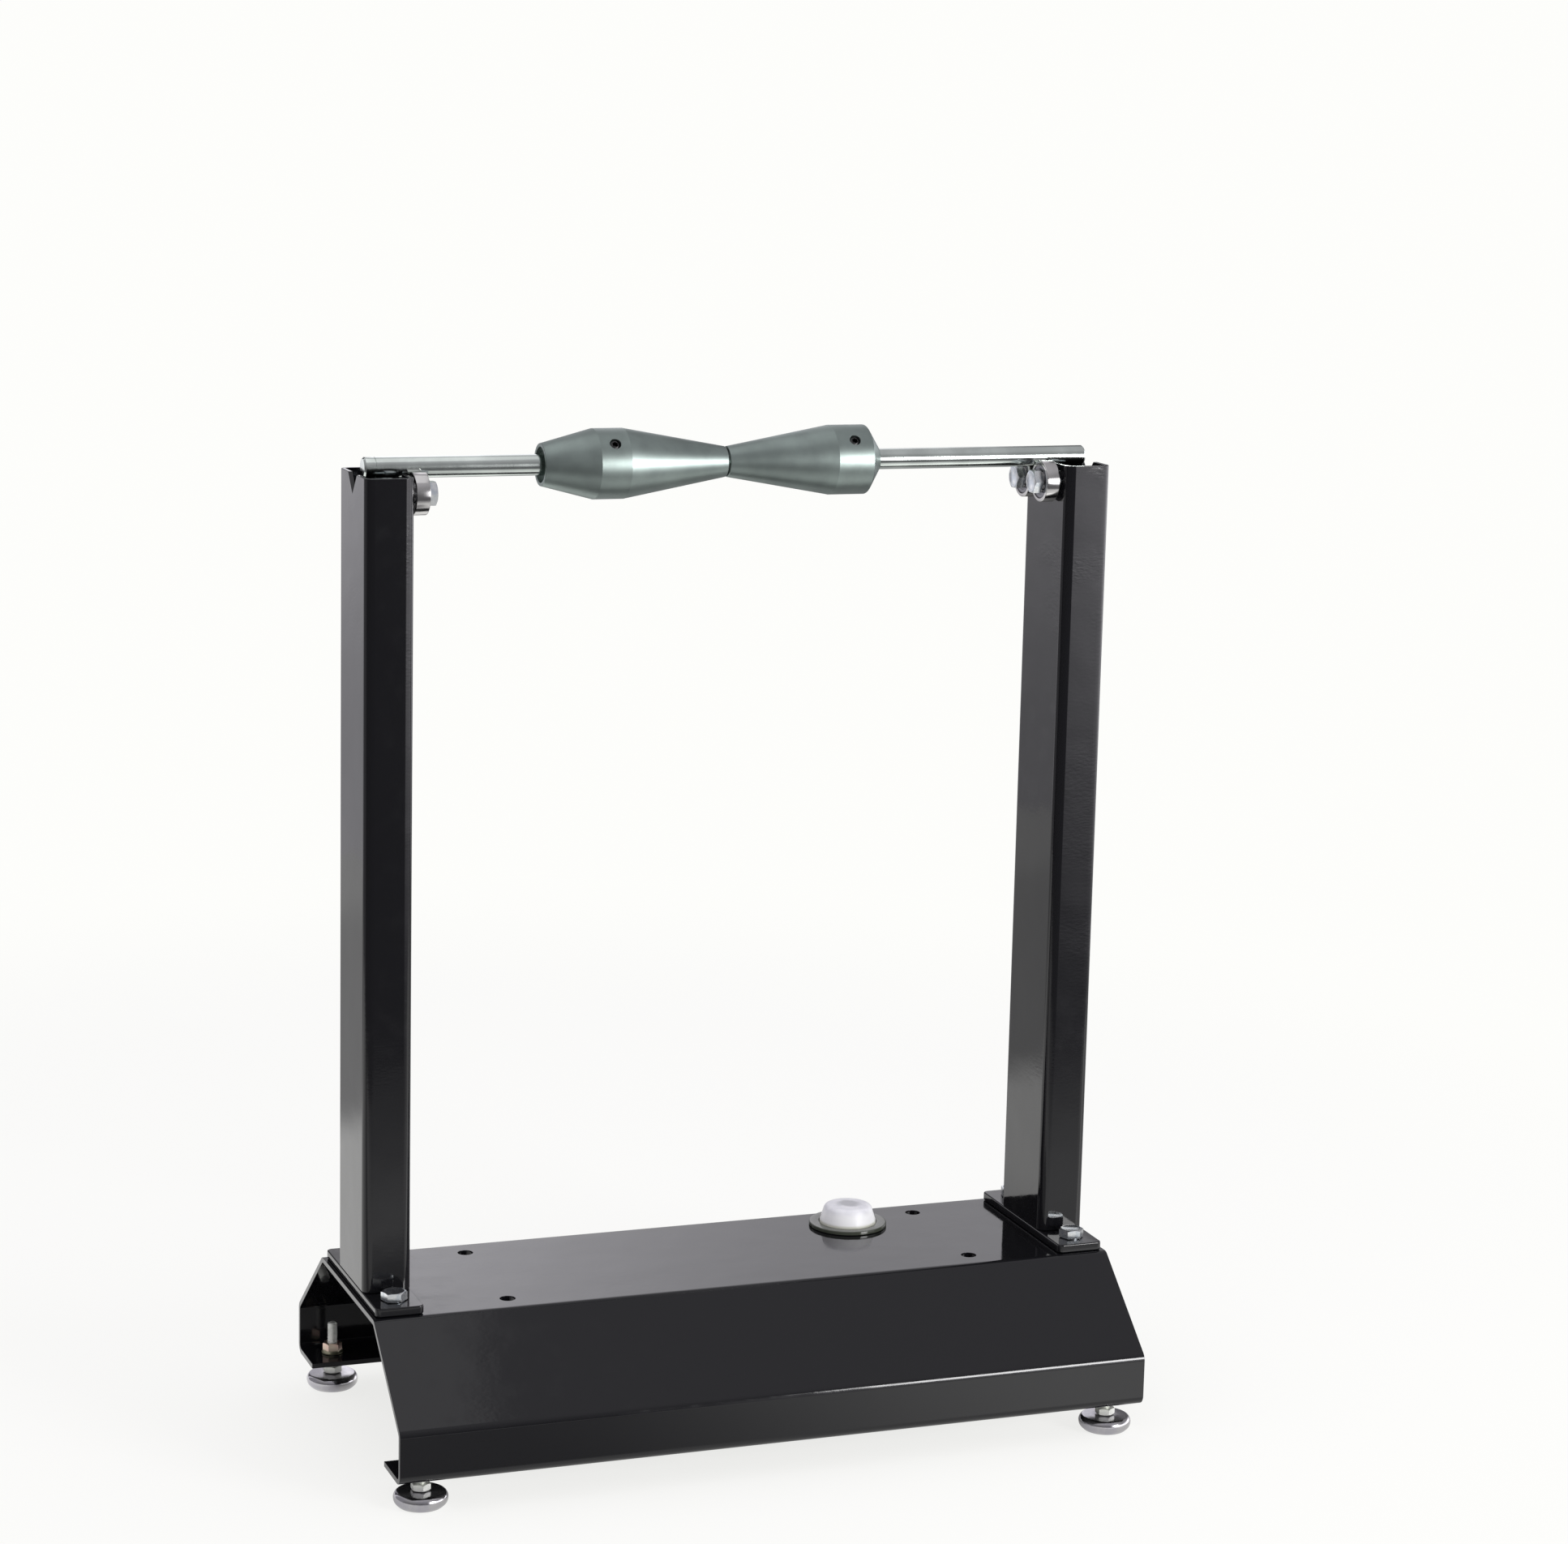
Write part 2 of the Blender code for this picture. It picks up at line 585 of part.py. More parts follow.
def shaft_mesh():
    """The ground shaft about Z, with the groove near its upper, left-hand end."""
    half = SHAFT_HALF_LENGTH
    upper_lip = half - GROOVE_FROM_END + GROOVE_WIDTH / 2
    lower_lip = upper_lip - GROOVE_WIDTH
    floor = SHAFT_RADIUS - GROOVE_DEPTH
    end = SHAFT_RADIUS - SHAFT_CHAMFER
    profile = [(0.0, half), (end, half), (SHAFT_RADIUS, half - SHAFT_CHAMFER), (SHAFT_RADIUS, upper_lip),
               (floor, upper_lip), (floor, lower_lip), (SHAFT_RADIUS, lower_lip),
               (SHAFT_RADIUS, SHAFT_CHAMFER - half), (end, -half), (0.0, -half)]
    return smoothed(turned_mesh(profile))


def cone_mesh(taper, band, back, back_radius, recess):
    """A bored cone about Z: its tip at zero, then its taper, its band and its back."""
    end = taper + band + back
    tip = CONE_BORE + CONE_TIP_WALL
    profile = [(back_radius - CONE_EDGE, end), (back_radius, end - CONE_EDGE), (CONE_RADIUS, taper + band),
               (CONE_RADIUS, taper), (tip, CONE_EDGE), (tip - CONE_EDGE, 0.0), (CONE_BORE, 0.0)]
    return smoothed(turned_mesh(profile + recess, ring=True))


def left_cone_mesh():
    """The cone with the long back, counterbored at its end."""
    end = LEFT_TAPER_LENGTH + LEFT_BAND_LENGTH + LEFT_BACK_LENGTH
    inside = LEFT_BACK_RADIUS - LEFT_RIM_WALL
    recess = [(CONE_BORE, end - LEFT_RECESS_DEPTH), (inside, end - LEFT_RECESS_DEPTH), (inside, end)]
    return cone_mesh(LEFT_TAPER_LENGTH, LEFT_BAND_LENGTH, LEFT_BACK_LENGTH, LEFT_BACK_RADIUS, recess)


def right_cone_mesh():
    """The cone with the short chamfered back."""
    end = RIGHT_TAPER_LENGTH + RIGHT_BAND_LENGTH + RIGHT_BACK_LENGTH
    back_radius = CONE_BORE + RIGHT_BACK_WALL
    recess = [(CONE_BORE, end)]
    return cone_mesh(RIGHT_TAPER_LENGTH, RIGHT_BAND_LENGTH, RIGHT_BACK_LENGTH, back_radius, recess)


def cone_screw_mesh():
    """A socket set screw about Z, between the shaft and the cone's band."""
    low = SHAFT_RADIUS + FIT_GAP
    high = CONE_RADIUS - SCREW_SINK
    body = [(0.0, high), (SCREW_RADIUS, high), (SCREW_RADIUS, low + SCREW_POINT),
            (SCREW_RADIUS - SCREW_POINT, low), (0.0, low)]
    corner = SCREW_SOCKET_FLATS / 2 / math.cos(math.pi / HEX_SIDES)
    socket = bar_mesh(corner, high - SCREW_SOCKET_DEPTH, high + CUT_OVERRUN, HEX_SIDES)
    return smoothed(combined_mesh(turned_mesh(body, HEX_STEPS), socket, "DIFFERENCE"))


def build_shaft(model):
    """The shaft on its rollers, with both cones and the screws that clamp them."""
    axis = model.frame("shaft_axis", (0.0, 0.0, SHAFT_HEIGHT))
    lying = (0.0, -math.pi / 2, 0.0)
    model.piece("balancing_shaft", shaft_mesh(), "shaft_chrome", rotation=lying, parent=axis)
    screw = cone_screw_mesh()
    drill = bar_mesh(SCREW_RADIUS + FIT_GAP, SHAFT_RADIUS - CUT_OVERRUN, CONE_RADIUS + CUT_OVERRUN)
    meshes = {"left": left_cone_mesh(), "right": right_cone_mesh()}
    screw_places = {"left": LEFT_TAPER_LENGTH + LEFT_BAND_LENGTH / 2,
                    "right": RIGHT_TAPER_LENGTH + RIGHT_BAND_LENGTH / 2}
    radial = (math.pi / 2 - SCREW_ELEVATION, 0.0, 0.0)
    for name, side in SIDES:
        tip = TIPS_MIDDLE_X + side * TIP_SPACING / 2
        lying = (0.0, side * math.pi / 2, 0.0)
        cone = model.piece(f"{name}_cone", meshes[name], "cone_steel", (tip, 0.0, 0.0), lying, axis)
        place = (tip + side * screw_places[name], 0.0, 0.0)
        model.cut(cone, drill, place, radial)
        model.piece(f"{name}_cone_screw", screw, "screw_black", place, radial, axis)


def flange_mesh(floor):
    """The level's round flange, with the pocket that the vial sits in."""
    top = LEVEL_FLANGE_THICKNESS
    pocket = VIAL_RADIUS + FIT_GAP
    profile = [(0.0, floor), (pocket, floor), (pocket, top), (LEVEL_FLANGE_RADIUS - LEVEL_FLANGE_EDGE, top),
               (LEVEL_FLANGE_RADIUS, top - LEVEL_FLANGE_EDGE), (LEVEL_FLANGE_RADIUS, 0.0), (0.0, 0.0)]
    return smoothed(turned_mesh(profile, RING_STEPS))


def vial_mesh():
    """The milky vial: a tapered dome with a round edge over a chamber open below."""
    turns = [math.pi / 2 * (1 - i / EDGE_ARCS) for i in range(EDGE_ARCS + 1)]
    edge = [(VIAL_TOP_RADIUS - VIAL_EDGE + VIAL_EDGE * math.cos(turn),
             VIAL_HEIGHT - VIAL_EDGE + VIAL_EDGE * math.sin(turn)) for turn in turns]
    chamber = VIAL_TOP_RADIUS - VIAL_WALL
    profile = [(0.0, VIAL_HEIGHT + VIAL_CROWN)] + edge + [(VIAL_RADIUS, 0.0), (chamber, 0.0),
                                                          (chamber, VIAL_HEIGHT - VIAL_EDGE - VIAL_WALL),
                                                          (0.0, VIAL_HEIGHT - VIAL_WALL)]
    return smoothed(turned_mesh(profile, RING_STEPS))


def build_level(model):
    """A round level: flange, vial and the dial that shows through the vial."""
    floor = LEVEL_FLANGE_THICKNESS - LEVEL_POCKET_DEPTH
    seat = BASE_TOP + FIT_GAP
    dial_radius = VIAL_TOP_RADIUS - VIAL_WALL - FIT_GAP
    dial = smoothed(bar_mesh(dial_radius, 0.0, DIAL_THICKNESS, RING_STEPS))
    model.piece("level_flange", flange_mesh(floor), "level_clear", (LEVEL_X, LEVEL_Y, seat))
    model.piece("level_vial", vial_mesh(), "level_milky", (LEVEL_X, LEVEL_Y, seat + floor + FIT_GAP))
    model.piece("level_dial", dial, "level_dial", (LEVEL_X, LEVEL_Y, seat + floor + FIT_GAP))


def pad_mesh():
    """The foot's turned pad, from the floor up, with the socket that the stud sits in."""
    socket = STUD_RADIUS + FIT_GAP
    floor = PAD_HEIGHT - SOCKET_DEPTH
    profile = [(0.0, floor), (socket, floor), (socket, PAD_HEIGHT),
               (PAD_SHOULDER_RADIUS, PAD_SHOULDER_HEIGHT), (PAD_RADIUS, PAD_RIM_HEIGHT),
               (PAD_SIDE_RADIUS, PAD_SIDE_HEIGHT), (PAD_SOLE_RADIUS, 0.0), (0.0, 0.0)]
    return smoothed(turned_mesh(profile))


def stud_mesh():
    """The foot's stud with its hexagon collar, both in one piece."""
    low = PAD_HEIGHT - SOCKET_DEPTH + FIT_GAP
    high = BASE_BOTTOM + SHEET + STUD_PROUD
    collar_low = PAD_HEIGHT + FIT_GAP
    rod = [(0.0, high), (STUD_RADIUS - STUD_CHAMFER, high), (STUD_RADIUS, high - STUD_CHAMFER),
           (STUD_RADIUS, low), (0.0, low)]
    collar = hex_mesh(FOOT_HEX_FLATS, collar_low, collar_low + COLLAR_HEIGHT)
    return smoothed(combined_mesh(collar, turned_mesh(rod, HEX_STEPS), "UNION"))


def flange_nut_mesh():
    """The flange nut that the stud screws through, from zero up."""
    rim = bar_mesh(FLANGE_NUT_RADIUS, 0.0, FLANGE_NUT_RIM, RING_STEPS)
    block = combined_mesh(hex_mesh(FOOT_HEX_FLATS, 0.0, FLANGE_NUT_HEIGHT), rim, "UNION")
    bore = bar_mesh(STUD_RADIUS + FIT_GAP, -CUT_OVERRUN, FLANGE_NUT_HEIGHT + CUT_OVERRUN)
    return smoothed(combined_mesh(block, bore, "DIFFERENCE"))


def build_feet(model):
    """Four feet, each stud passing through a nut that is fixed on the base's flange."""
    pad = pad_mesh()
    stud = stud_mesh()
    nut = flange_nut_mesh()
    nut_seat = BASE_BOTTOM + SHEET + FIT_GAP
    for name, side in SIDES:
        for row_name, row in ROWS:
            label = f"{name}_{row_name}_foot"
            axis = model.frame(label + "_axis", (side * FOOT_X, row * FOOT_Y, 0.0))
            model.piece(label + "_pad", pad, "foot_nickel", parent=axis)
            model.piece(label + "_stud", stud, "bright_zinc", parent=axis)
            model.piece(label + "_nut", nut, "yellow_zinc", (0.0, 0.0, nut_seat), parent=axis)


def main():
    clear_scene()
    model = Model()
    build_base(model)
    build_uprights(model)
    build_rollers(model)
    build_shaft(model)
    build_level(model)
    build_feet(model)
    bpy.context.view_layer.update()


main()
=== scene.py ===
# %% [markdown]
# # Dressing a wheel balancer
# The real object is a bench stand. A motorcycle wheel sits on a shaft between two cones, and the shaft
# rolls on four small ball bearings until the heavy side of the wheel is at the bottom.
# The solids are already modelled and packed, so this lesson only gives them finer surfaces and finishes.
# Every new piece takes its place from the solid that it stands for.

# %% Load the solids
import json
import math

import bmesh
import bpy
from mathutils import Matrix, Vector


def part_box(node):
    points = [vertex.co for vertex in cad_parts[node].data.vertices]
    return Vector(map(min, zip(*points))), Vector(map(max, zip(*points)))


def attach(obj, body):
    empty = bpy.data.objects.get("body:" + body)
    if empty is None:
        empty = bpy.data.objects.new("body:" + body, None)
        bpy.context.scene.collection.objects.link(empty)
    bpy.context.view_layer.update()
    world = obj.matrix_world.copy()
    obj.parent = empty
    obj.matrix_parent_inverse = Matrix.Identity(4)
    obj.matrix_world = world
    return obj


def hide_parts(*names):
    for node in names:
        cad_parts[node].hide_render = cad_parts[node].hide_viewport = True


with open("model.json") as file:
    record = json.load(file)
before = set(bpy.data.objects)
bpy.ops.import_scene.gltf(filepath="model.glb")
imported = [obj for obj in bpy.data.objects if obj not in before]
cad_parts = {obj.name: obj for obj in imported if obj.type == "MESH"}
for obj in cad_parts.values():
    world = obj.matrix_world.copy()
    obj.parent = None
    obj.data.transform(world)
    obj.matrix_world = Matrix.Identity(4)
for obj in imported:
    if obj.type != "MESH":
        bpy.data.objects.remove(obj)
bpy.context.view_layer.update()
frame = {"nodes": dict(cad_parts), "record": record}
scene = bpy.context.scene

# %% [markdown]
# ## The camera
# The photograph was taken from the front left and a little above. Its focal length in pixels, its turn,
# tilt and roll were fitted to points of the stand, so the render can be laid over the photograph.
# A camera is easiest to aim by building its three axes: where it looks, its right and its up.

# %% Camera at the photograph's angle
IMAGE_WIDTH = 1934
FOCAL_PIXELS = 4821.4
TURN = math.radians(20.653)
TILT = math.radians(10.746)
ROLL = math.radians(1.334)
LOOK_AT = Vector((0.0347, 0.0, 0.3838))
DISTANCE = 2.27266

ahead = Vector((math.sin(TURN) * math.cos(TILT), math.cos(TURN) * math.cos(TILT), -math.sin(TILT)))
level_right = Vector((math.cos(TURN), -math.sin(TURN), 0.0))
level_up = level_right.cross(ahead)
right = level_right * math.cos(ROLL) + level_up * math.sin(ROLL)
up = level_up * math.cos(ROLL) - level_right * math.sin(ROLL)

camera = bpy.data.objects.new("camera", bpy.data.cameras.new("camera"))
scene.collection.objects.link(camera)
camera.data.lens = FOCAL_PIXELS * camera.data.sensor_width / IMAGE_WIDTH
facing = Matrix((right, up, -ahead)).transposed().to_4x4()
camera.matrix_world = Matrix.Translation(LOOK_AT - ahead * DISTANCE) @ facing
scene.camera = camera
print("lens:", round(camera.data.lens, 2), "mm, camera at", [round(v, 3) for v in camera.location])

# %% [markdown]
# ## Shader maths as plain expressions
# A finish is a network of nodes, and wiring each Math node by hand is slow to read.
# The small class below wraps a socket, so that sums and products of sockets add their own nodes.
# One function adds every other node: it takes the node's type, its settings and its inputs.


# %% A socket that can be added and multiplied
class Signal:
    """A node's output, with arithmetic that adds Math nodes."""

    def __init__(self, tree, socket):
        self.tree = tree
        self.socket = socket

    def maths(self, operation, *values):
        return add_node(self.tree, "Math", {"operation": operation}, dict(enumerate(values)))

    def __add__(self, other):
        return self.maths("ADD", self, other)

    def __sub__(self, other):
        return self.maths("SUBTRACT", self, other)

    def __rsub__(self, other):
        return self.maths("SUBTRACT", other, self)

    def __mul__(self, other):
        return self.maths("MULTIPLY", self, other)

    def __truediv__(self, other):
        return self.maths("DIVIDE", self, other)

    def __abs__(self):
        return self.maths("ABSOLUTE", self)

    __radd__ = __add__
    __rmul__ = __mul__

    def clamped(self):
        """The value kept between 0 and 1."""
        return add_node(self.tree, "Clamp", {}, {"Value": self})

    def between(self, low, high):
        """A soft step from 0 at low to 1 at high."""
        settings = {"interpolation_type": "SMOOTHSTEP"}
        return add_node(self.tree, "MapRange", settings, {"Value": self, "From Min": low, "From Max": high})

    def within(self, opens, full, closes, shut):
        """A soft step up from opens to full, and down again from closes to shut."""
        return self.between(opens, full) * (1.0 - self.between(closes, shut))

    def sibling(self, output):
        """Another output of the same node."""
        return Signal(self.tree, self.socket.node.outputs[output])


# %% One function for every other node
def plug(tree, target, value):
    """Give an input socket a link or a plain value."""
    if isinstance(value, Signal):
        tree.links.new(value.socket, target)
    elif target.type == "RGBA":
        target.default_value = (*value, 1.0)
    else:
        target.default_value = value


def add_node(tree, kind, settings, inputs, output=0):
    """Add a node by type, set it, fill its inputs and return one of its outputs."""
    node = tree.nodes.new("ShaderNode" + kind)
    for name, value in settings.items():
        setattr(node, name, value)
    for name, value in inputs.items():
        plug(tree, node.inputs[name], value)
    return None if output is None else Signal(tree, node.outputs[output])


# %% Parts of a vector, and mixtures by a mask
COLOUR_A, COLOUR_B, COLOUR_RESULT = 6, 7, 2


def axes(tree, vector):
    """The X, Y and Z of a vector."""
    x = add_node(tree, "SeparateXYZ", {}, {0: vector}, "X")
    return x, x.sibling("Y"), x.sibling("Z")


def mixed(mask, first, second):
    """The first level where the mask is 0, the second where it is 1."""
    return first + (second - first) * mask


def blended(tree, mask, first, second):
    """The first colour where the mask is 0, the second where it is 1."""
    inputs = {"Factor": mask, COLOUR_A: first, COLOUR_B: second}
    return add_node(tree, "Mix", {"data_type": "RGBA"}, inputs, COLOUR_RESULT)


def kinds_of_ray(tree):
    """Camera rays, and rays that a mirror or a clear piece sends on."""
    camera_ray = add_node(tree, "LightPath", {}, {}, "Is Camera Ray")
    sent_on = camera_ray.sibling("Is Glossy Ray") + camera_ray.sibling("Is Transmission Ray")
    return camera_ray, sent_on.clamped()


# %% [markdown]
# ## The studio
# Glossy black paint has almost no colour of its own. It shows the room, so the room has to be right.
# The photographed stand mirrors a grey wall behind it, a broad bright panel above the wall towards the
# right, a bright doorway far on the left, a dim room in front with a lit sill on its right, and a white
# ceiling. The camera itself sees only white.
# The world can tell these apart by the direction of a ray and by what kind of ray it is. A direction is
# an arrow of length 1. The pairs of numbers below say how far east, north or up that arrow reaches
# where a soft step starts and where it ends.

# %% Directions in the room
WHITE = (0.985, 0.985, 0.965)
COOL = (0.965, 0.95, 1.0)

world = bpy.data.worlds.new("studio")
scene.world = world
world.use_nodes = True
room = world.node_tree
room.nodes.clear()
east, north, height = axes(room, add_node(room, "TexCoord", {}, {}, "Generated"))
west = east * -1.0

# %% Behind the stand: the wall, and the bright panel above it
WALL_FOOT = 0.52
WALL = 0.88
WALL_BEHIND_STAND = 1.2
WALL_ON_RIGHT = 0.28
PANEL_ON_LEFT = 0.10
PANEL_MIDDLE = 1.75
PANEL_RIGHT = 0.98
PANEL_PAST_END = 0.15
PANEL_BEFORE_START = 0.35

wall = mixed(height.between(-0.18, -0.09), WALL_FOOT, WALL)
wall = wall * mixed(west.between(0.27, 0.38), WALL_BEHIND_STAND, 1.0)
wall = wall * mixed(east.between(-0.22, 0.05), 1.0, WALL_ON_RIGHT)
panel = mixed(east.between(-0.3, 0.05), PANEL_ON_LEFT, 1.0)
panel = panel * mixed(east.between(0.2, 0.36), PANEL_MIDDLE, PANEL_RIGHT)
panel = panel * mixed(east.between(0.395, 0.43), 1.0, PANEL_PAST_END)
panel = panel * mixed(east.between(0.228, 0.25), PANEL_BEFORE_START, 1.0)
behind = mixed(height.between(-0.03, 0.14), wall, panel)

# %% In front and on the left: the dim room, its sill and the doorway
FRONT_LOW = 0.13
FRONT_HIGH = 0.34
SILL = 2.5
LEFT_SIDE = 0.35
DOORWAY = 1.2
CEILING = 0.50

sill = east.between(0.28, 0.46) * height.between(-0.28, -0.06) * (1.0 - height.between(0.1, 0.4))
in_front = mixed(height.between(-0.1, 0.6), FRONT_LOW, FRONT_HIGH) + sill * SILL
around = mixed(north.between(0.35, 0.75), in_front, behind)
left_side = west.between(0.5, 0.6) * north.between(-0.05, 0.1)
doorway = west.within(0.43, 0.47, 0.53, 0.58) * north.between(0.5, 0.7)
around = mixed(doorway, mixed(left_side, around, LEFT_SIDE), DOORWAY)
reflected = mixed(height.between(0.5, 0.86), around, CEILING)

# %% The world's light
AMBIENT = 0.88

camera_ray, sent_on = kinds_of_ray(room)
strength = mixed(camera_ray, mixed(sent_on, AMBIENT, reflected), 1.0)
tint = blended(room, camera_ray, COOL, WHITE)
glow = add_node(room, "Background", {}, {"Color": tint, "Strength": strength})
add_node(room, "OutputWorld", {}, {"Surface": glow}, None)
scene.view_settings.view_transform = "Standard"

# %% [markdown]
# ## The floor
# The stand is on a sheet of white paper on a grey table. The paper ends half a metre in front of the
# stand and a little more behind it, and both ends can be read from the photograph: they are the two
# places where the tubes' reflections step from light to dark.
# Beneath the base the paper carries painted shade. In front of it, where the skirt mirrors it, it carries
# painted shade on the left and painted light on the right, and further out on the left there is a patch of
# painted shade, which the edge of the left plate mirrors. To the camera the floor is white, with a faint
# shadow under the stand.

# %% A disc for the floor
FLOOR_RADIUS = 1.3
FLOOR_CENTRE_Y = 0.45
FLOOR_DROP = 0.0002
FLOOR_STEPS = 96

disc = bmesh.new()
bmesh.ops.create_circle(disc, cap_ends=True, segments=FLOOR_STEPS, radius=FLOOR_RADIUS)
floor_mesh = bpy.data.meshes.new("floor")
disc.to_mesh(floor_mesh)
disc.free()
floor = bpy.data.objects.new("floor", floor_mesh)
floor.location = (0.0, FLOOR_CENTRE_Y, -FLOOR_DROP)
scene.collection.objects.link(floor)

# %% How bright the paper and the table are in a mirror
NEAR_PAPER = 0.72
FAR_PAPER_LEFT = 1.15
FAR_PAPER_RIGHT = 0.22
# Where the skirt mirrors the paper: painted shade on the left, painted light on the right.
SKIRT_PAINTED_SHADE = 0.10
SKIRT_PAINTED_LIGHT = 1.5
# Painted shade on the paper beneath the base.
PAINTED_SHADE_BENEATH_BASE = 0.25
NEAR_TABLE = 0.16
FAR_TABLE = 0.38
TABLE_END = 1.4
TABLE_RIGHT = 0.45
# A patch of painted shade, which the edge of the left plate mirrors.
PAINTED_SHADE_PATCH = 0.1

pale = bpy.data.materials.new("pale_floor")
pale.use_nodes = True
ground = pale.node_tree
ground.nodes.clear()
from_centre = add_node(ground, "TexCoord", {}, {}, "Object")
across, along = axes(ground, from_centre)[:2]
along = along + FLOOR_CENTRE_Y

far_paper = mixed(across.between(0.0, 0.16), FAR_PAPER_LEFT, FAR_PAPER_RIGHT)
open_paper = mixed(along.between(-0.1, 0.15), NEAR_PAPER, far_paper)
# Painted shade on the left and painted light on the right, where the skirt mirrors the paper.
skirt_painted_light_and_shade = mixed(across.between(-0.14, 0.24), SKIRT_PAINTED_SHADE, SKIRT_PAINTED_LIGHT)
# Where the painted shade beneath the base goes.
painted_shade_beneath = (1.0 - abs(across).between(0.20, 0.24)) * (1.0 - abs(along).between(0.07, 0.11))
paper_level = mixed(along.within(-0.32, -0.26, -0.165, -0.135), open_paper, skirt_painted_light_and_shade)
paper_level = paper_level * mixed(painted_shade_beneath, 1.0, PAINTED_SHADE_BENEATH_BASE)
table_level = mixed(along.between(-0.3, 0.4), NEAR_TABLE, FAR_TABLE)
table_level = table_level * mixed(along.between(1.25, 1.45), 1.0, TABLE_END)
table_level = table_level * mixed(across.between(-0.2, 0.15), 1.0, TABLE_RIGHT)
# Where the patch of painted shade lies, in front on the left.
painted_shade_patch = across.within(-0.25, -0.20, -0.05, 0.05) * along.within(-0.43, -0.39, -0.28, -0.26)
mirrored = mixed(along.within(-0.75, -0.42, 0.6, 0.72), table_level, paper_level)
mirrored = mirrored * mixed(painted_shade_patch, 1.0, PAINTED_SHADE_PATCH)

# %% The floor's material
SHADOW_SHARE = 0.22
MIRRORED_SHARE = 0.75
PAPER = (0.9, 0.9, 0.89)

reach = add_node(ground, "VectorMath", {"operation": "LENGTH"}, {0: from_centre}, "Value")
rim = (reach / FLOOR_RADIUS).between(0.35, 0.8)
camera_ray, sent_on = kinds_of_ray(ground)
paper = add_node(ground, "BsdfDiffuse", {}, {"Color": PAPER})
lit = add_node(ground, "Emission", {}, {"Color": WHITE, "Strength": mixed(camera_ray, mirrored, 1.0)})
lit_share = camera_ray * mixed(rim, 1.0 - SHADOW_SHARE, 1.0) + sent_on * MIRRORED_SHARE
both = add_node(ground, "MixShader", {}, {0: lit_share, 1: paper, 2: lit})
add_node(ground, "OutputMaterial", {}, {"Surface": both}, None)
floor_mesh.materials.append(pale)
print("floor nodes:", len(ground.nodes))

# %% [markdown]
# ## Lamps
# Two highlights tell where the lamps were. The white line on the lower fold and the one on the shaft
# lie at different heights, and their parallax puts a window-like lamp over two metres off in front on
# the right. The paler left end of the slope comes from a softbox overhead.


# %% Lamps
def softbox(name, place, aim, width, tall, radiance):
    """A rectangular area lamp that faces a point and looks as bright as it is told."""
    lamp = bpy.data.objects.new(name, bpy.data.lights.new(name, "AREA"))
    lamp.data.shape = "RECTANGLE"
    lamp.data.size = width
    lamp.data.size_y = tall
    lamp.data.energy = radiance * math.pi * width * tall
    lamp.location = place
    lamp.rotation_euler = (Vector(aim) - Vector(place)).to_track_quat("-Z", "Y").to_euler()
    lamp.visible_camera = False
    scene.collection.objects.link(lamp)
    return lamp


window = softbox("window", place=(1.25, -2.0, 0.74), aim=(0.1, 0.0, 0.4),
                 width=0.85, tall=0.68, radiance=19.0)
ceiling_bank = softbox("ceiling_bank", place=(-0.35, 0.0, 1.95), aim=(-0.35, 0.0, 0.0),
                       width=1.4, tall=1.4, radiance=0.4)
print("lamps:", {lamp.name: round(lamp.data.energy, 1) for lamp in (window, ceiling_bank)}, "watts")

# %% [markdown]
# ## Finishes
# Each finish starts from one Principled shader. What changes over the surface feeds its colour, its
# roughness or its normal, and nothing else, so that the finish can be baked for other programs.


# %% A finish to build on
class Finish:
    """A material on one Principled shader."""

    def __init__(self, name, colour, roughness, metallic=0.0):
        self.material = bpy.data.materials.new(name)
        self.material.use_nodes = True
        self.tree = self.material.node_tree
        self.shader = self.tree.nodes["Principled BSDF"]
        self.set("Base Color", colour)
        self.set("Roughness", roughness)
        self.set("Metallic", metallic)

    def set(self, socket, value):
        plug(self.tree, self.shader.inputs[socket], value)

    def linked(self, socket):
        """What already feeds a socket of the shader."""
        return Signal(self.tree, self.shader.inputs[socket].links[0].from_socket)

    def add(self, kind, settings, inputs, output=0):
        return add_node(self.tree, kind, settings, inputs, output)

    def here(self):
        """The place on the piece, in metres."""
        return self.add("TexCoord", {}, {}, "Object")

    def scaled(self, factors):
        """The place on the piece, with each axis scaled by a factor."""
        return self.add("VectorMath", {"operation": "MULTIPLY"}, {0: self.here(), 1: factors})

    def height(self):
        """How high on the piece, in metres."""
        inputs = {0: self.here(), 1: (0.0, 0.0, 1.0)}
        return self.add("VectorMath", {"operation": "DOT_PRODUCT"}, inputs, "Value")

    def radius(self):
        """How far from the piece's Z axis, in metres."""
        return self.add("VectorMath", {"operation": "LENGTH"}, {0: self.scaled((1.0, 1.0, 0.0))}, "Value")

    def noise(self, scale, detail, squeeze=(1.0, 1.0, 1.0)):
        """Soft noise with so many bumps to the metre; a small factor draws them out along its axis."""
        inputs = {"Vector": self.scaled(squeeze), "Scale": scale, "Detail": detail}
        return self.add("TexNoise", {}, inputs)

    def blend(self, mask, first, second):
        """The first colour where the mask is 0, the second where it is 1."""
        return blended(self.tree, mask, first, second)

    def relief(self, height, depth):
        """Raise the surface by a height of so many metres."""
        self.set("Normal", self.add("Bump", {}, {"Height": height, "Distance": depth, "Strength": 1.0}))


# %% [markdown]
# ### Black gloss enamel
# The sheet and the tubes are sprayed with a thick black enamel. It is nearly a mirror, with the fine
# dimples that painters call orange peel and a slow waviness from the rolled steel under it.
# Near the tops of the tubes the coat is thicker in places, and its ripples lie across the tube. That is
# why the noise for the peel is drawn out sideways and made stronger by a mask of spots and of height.

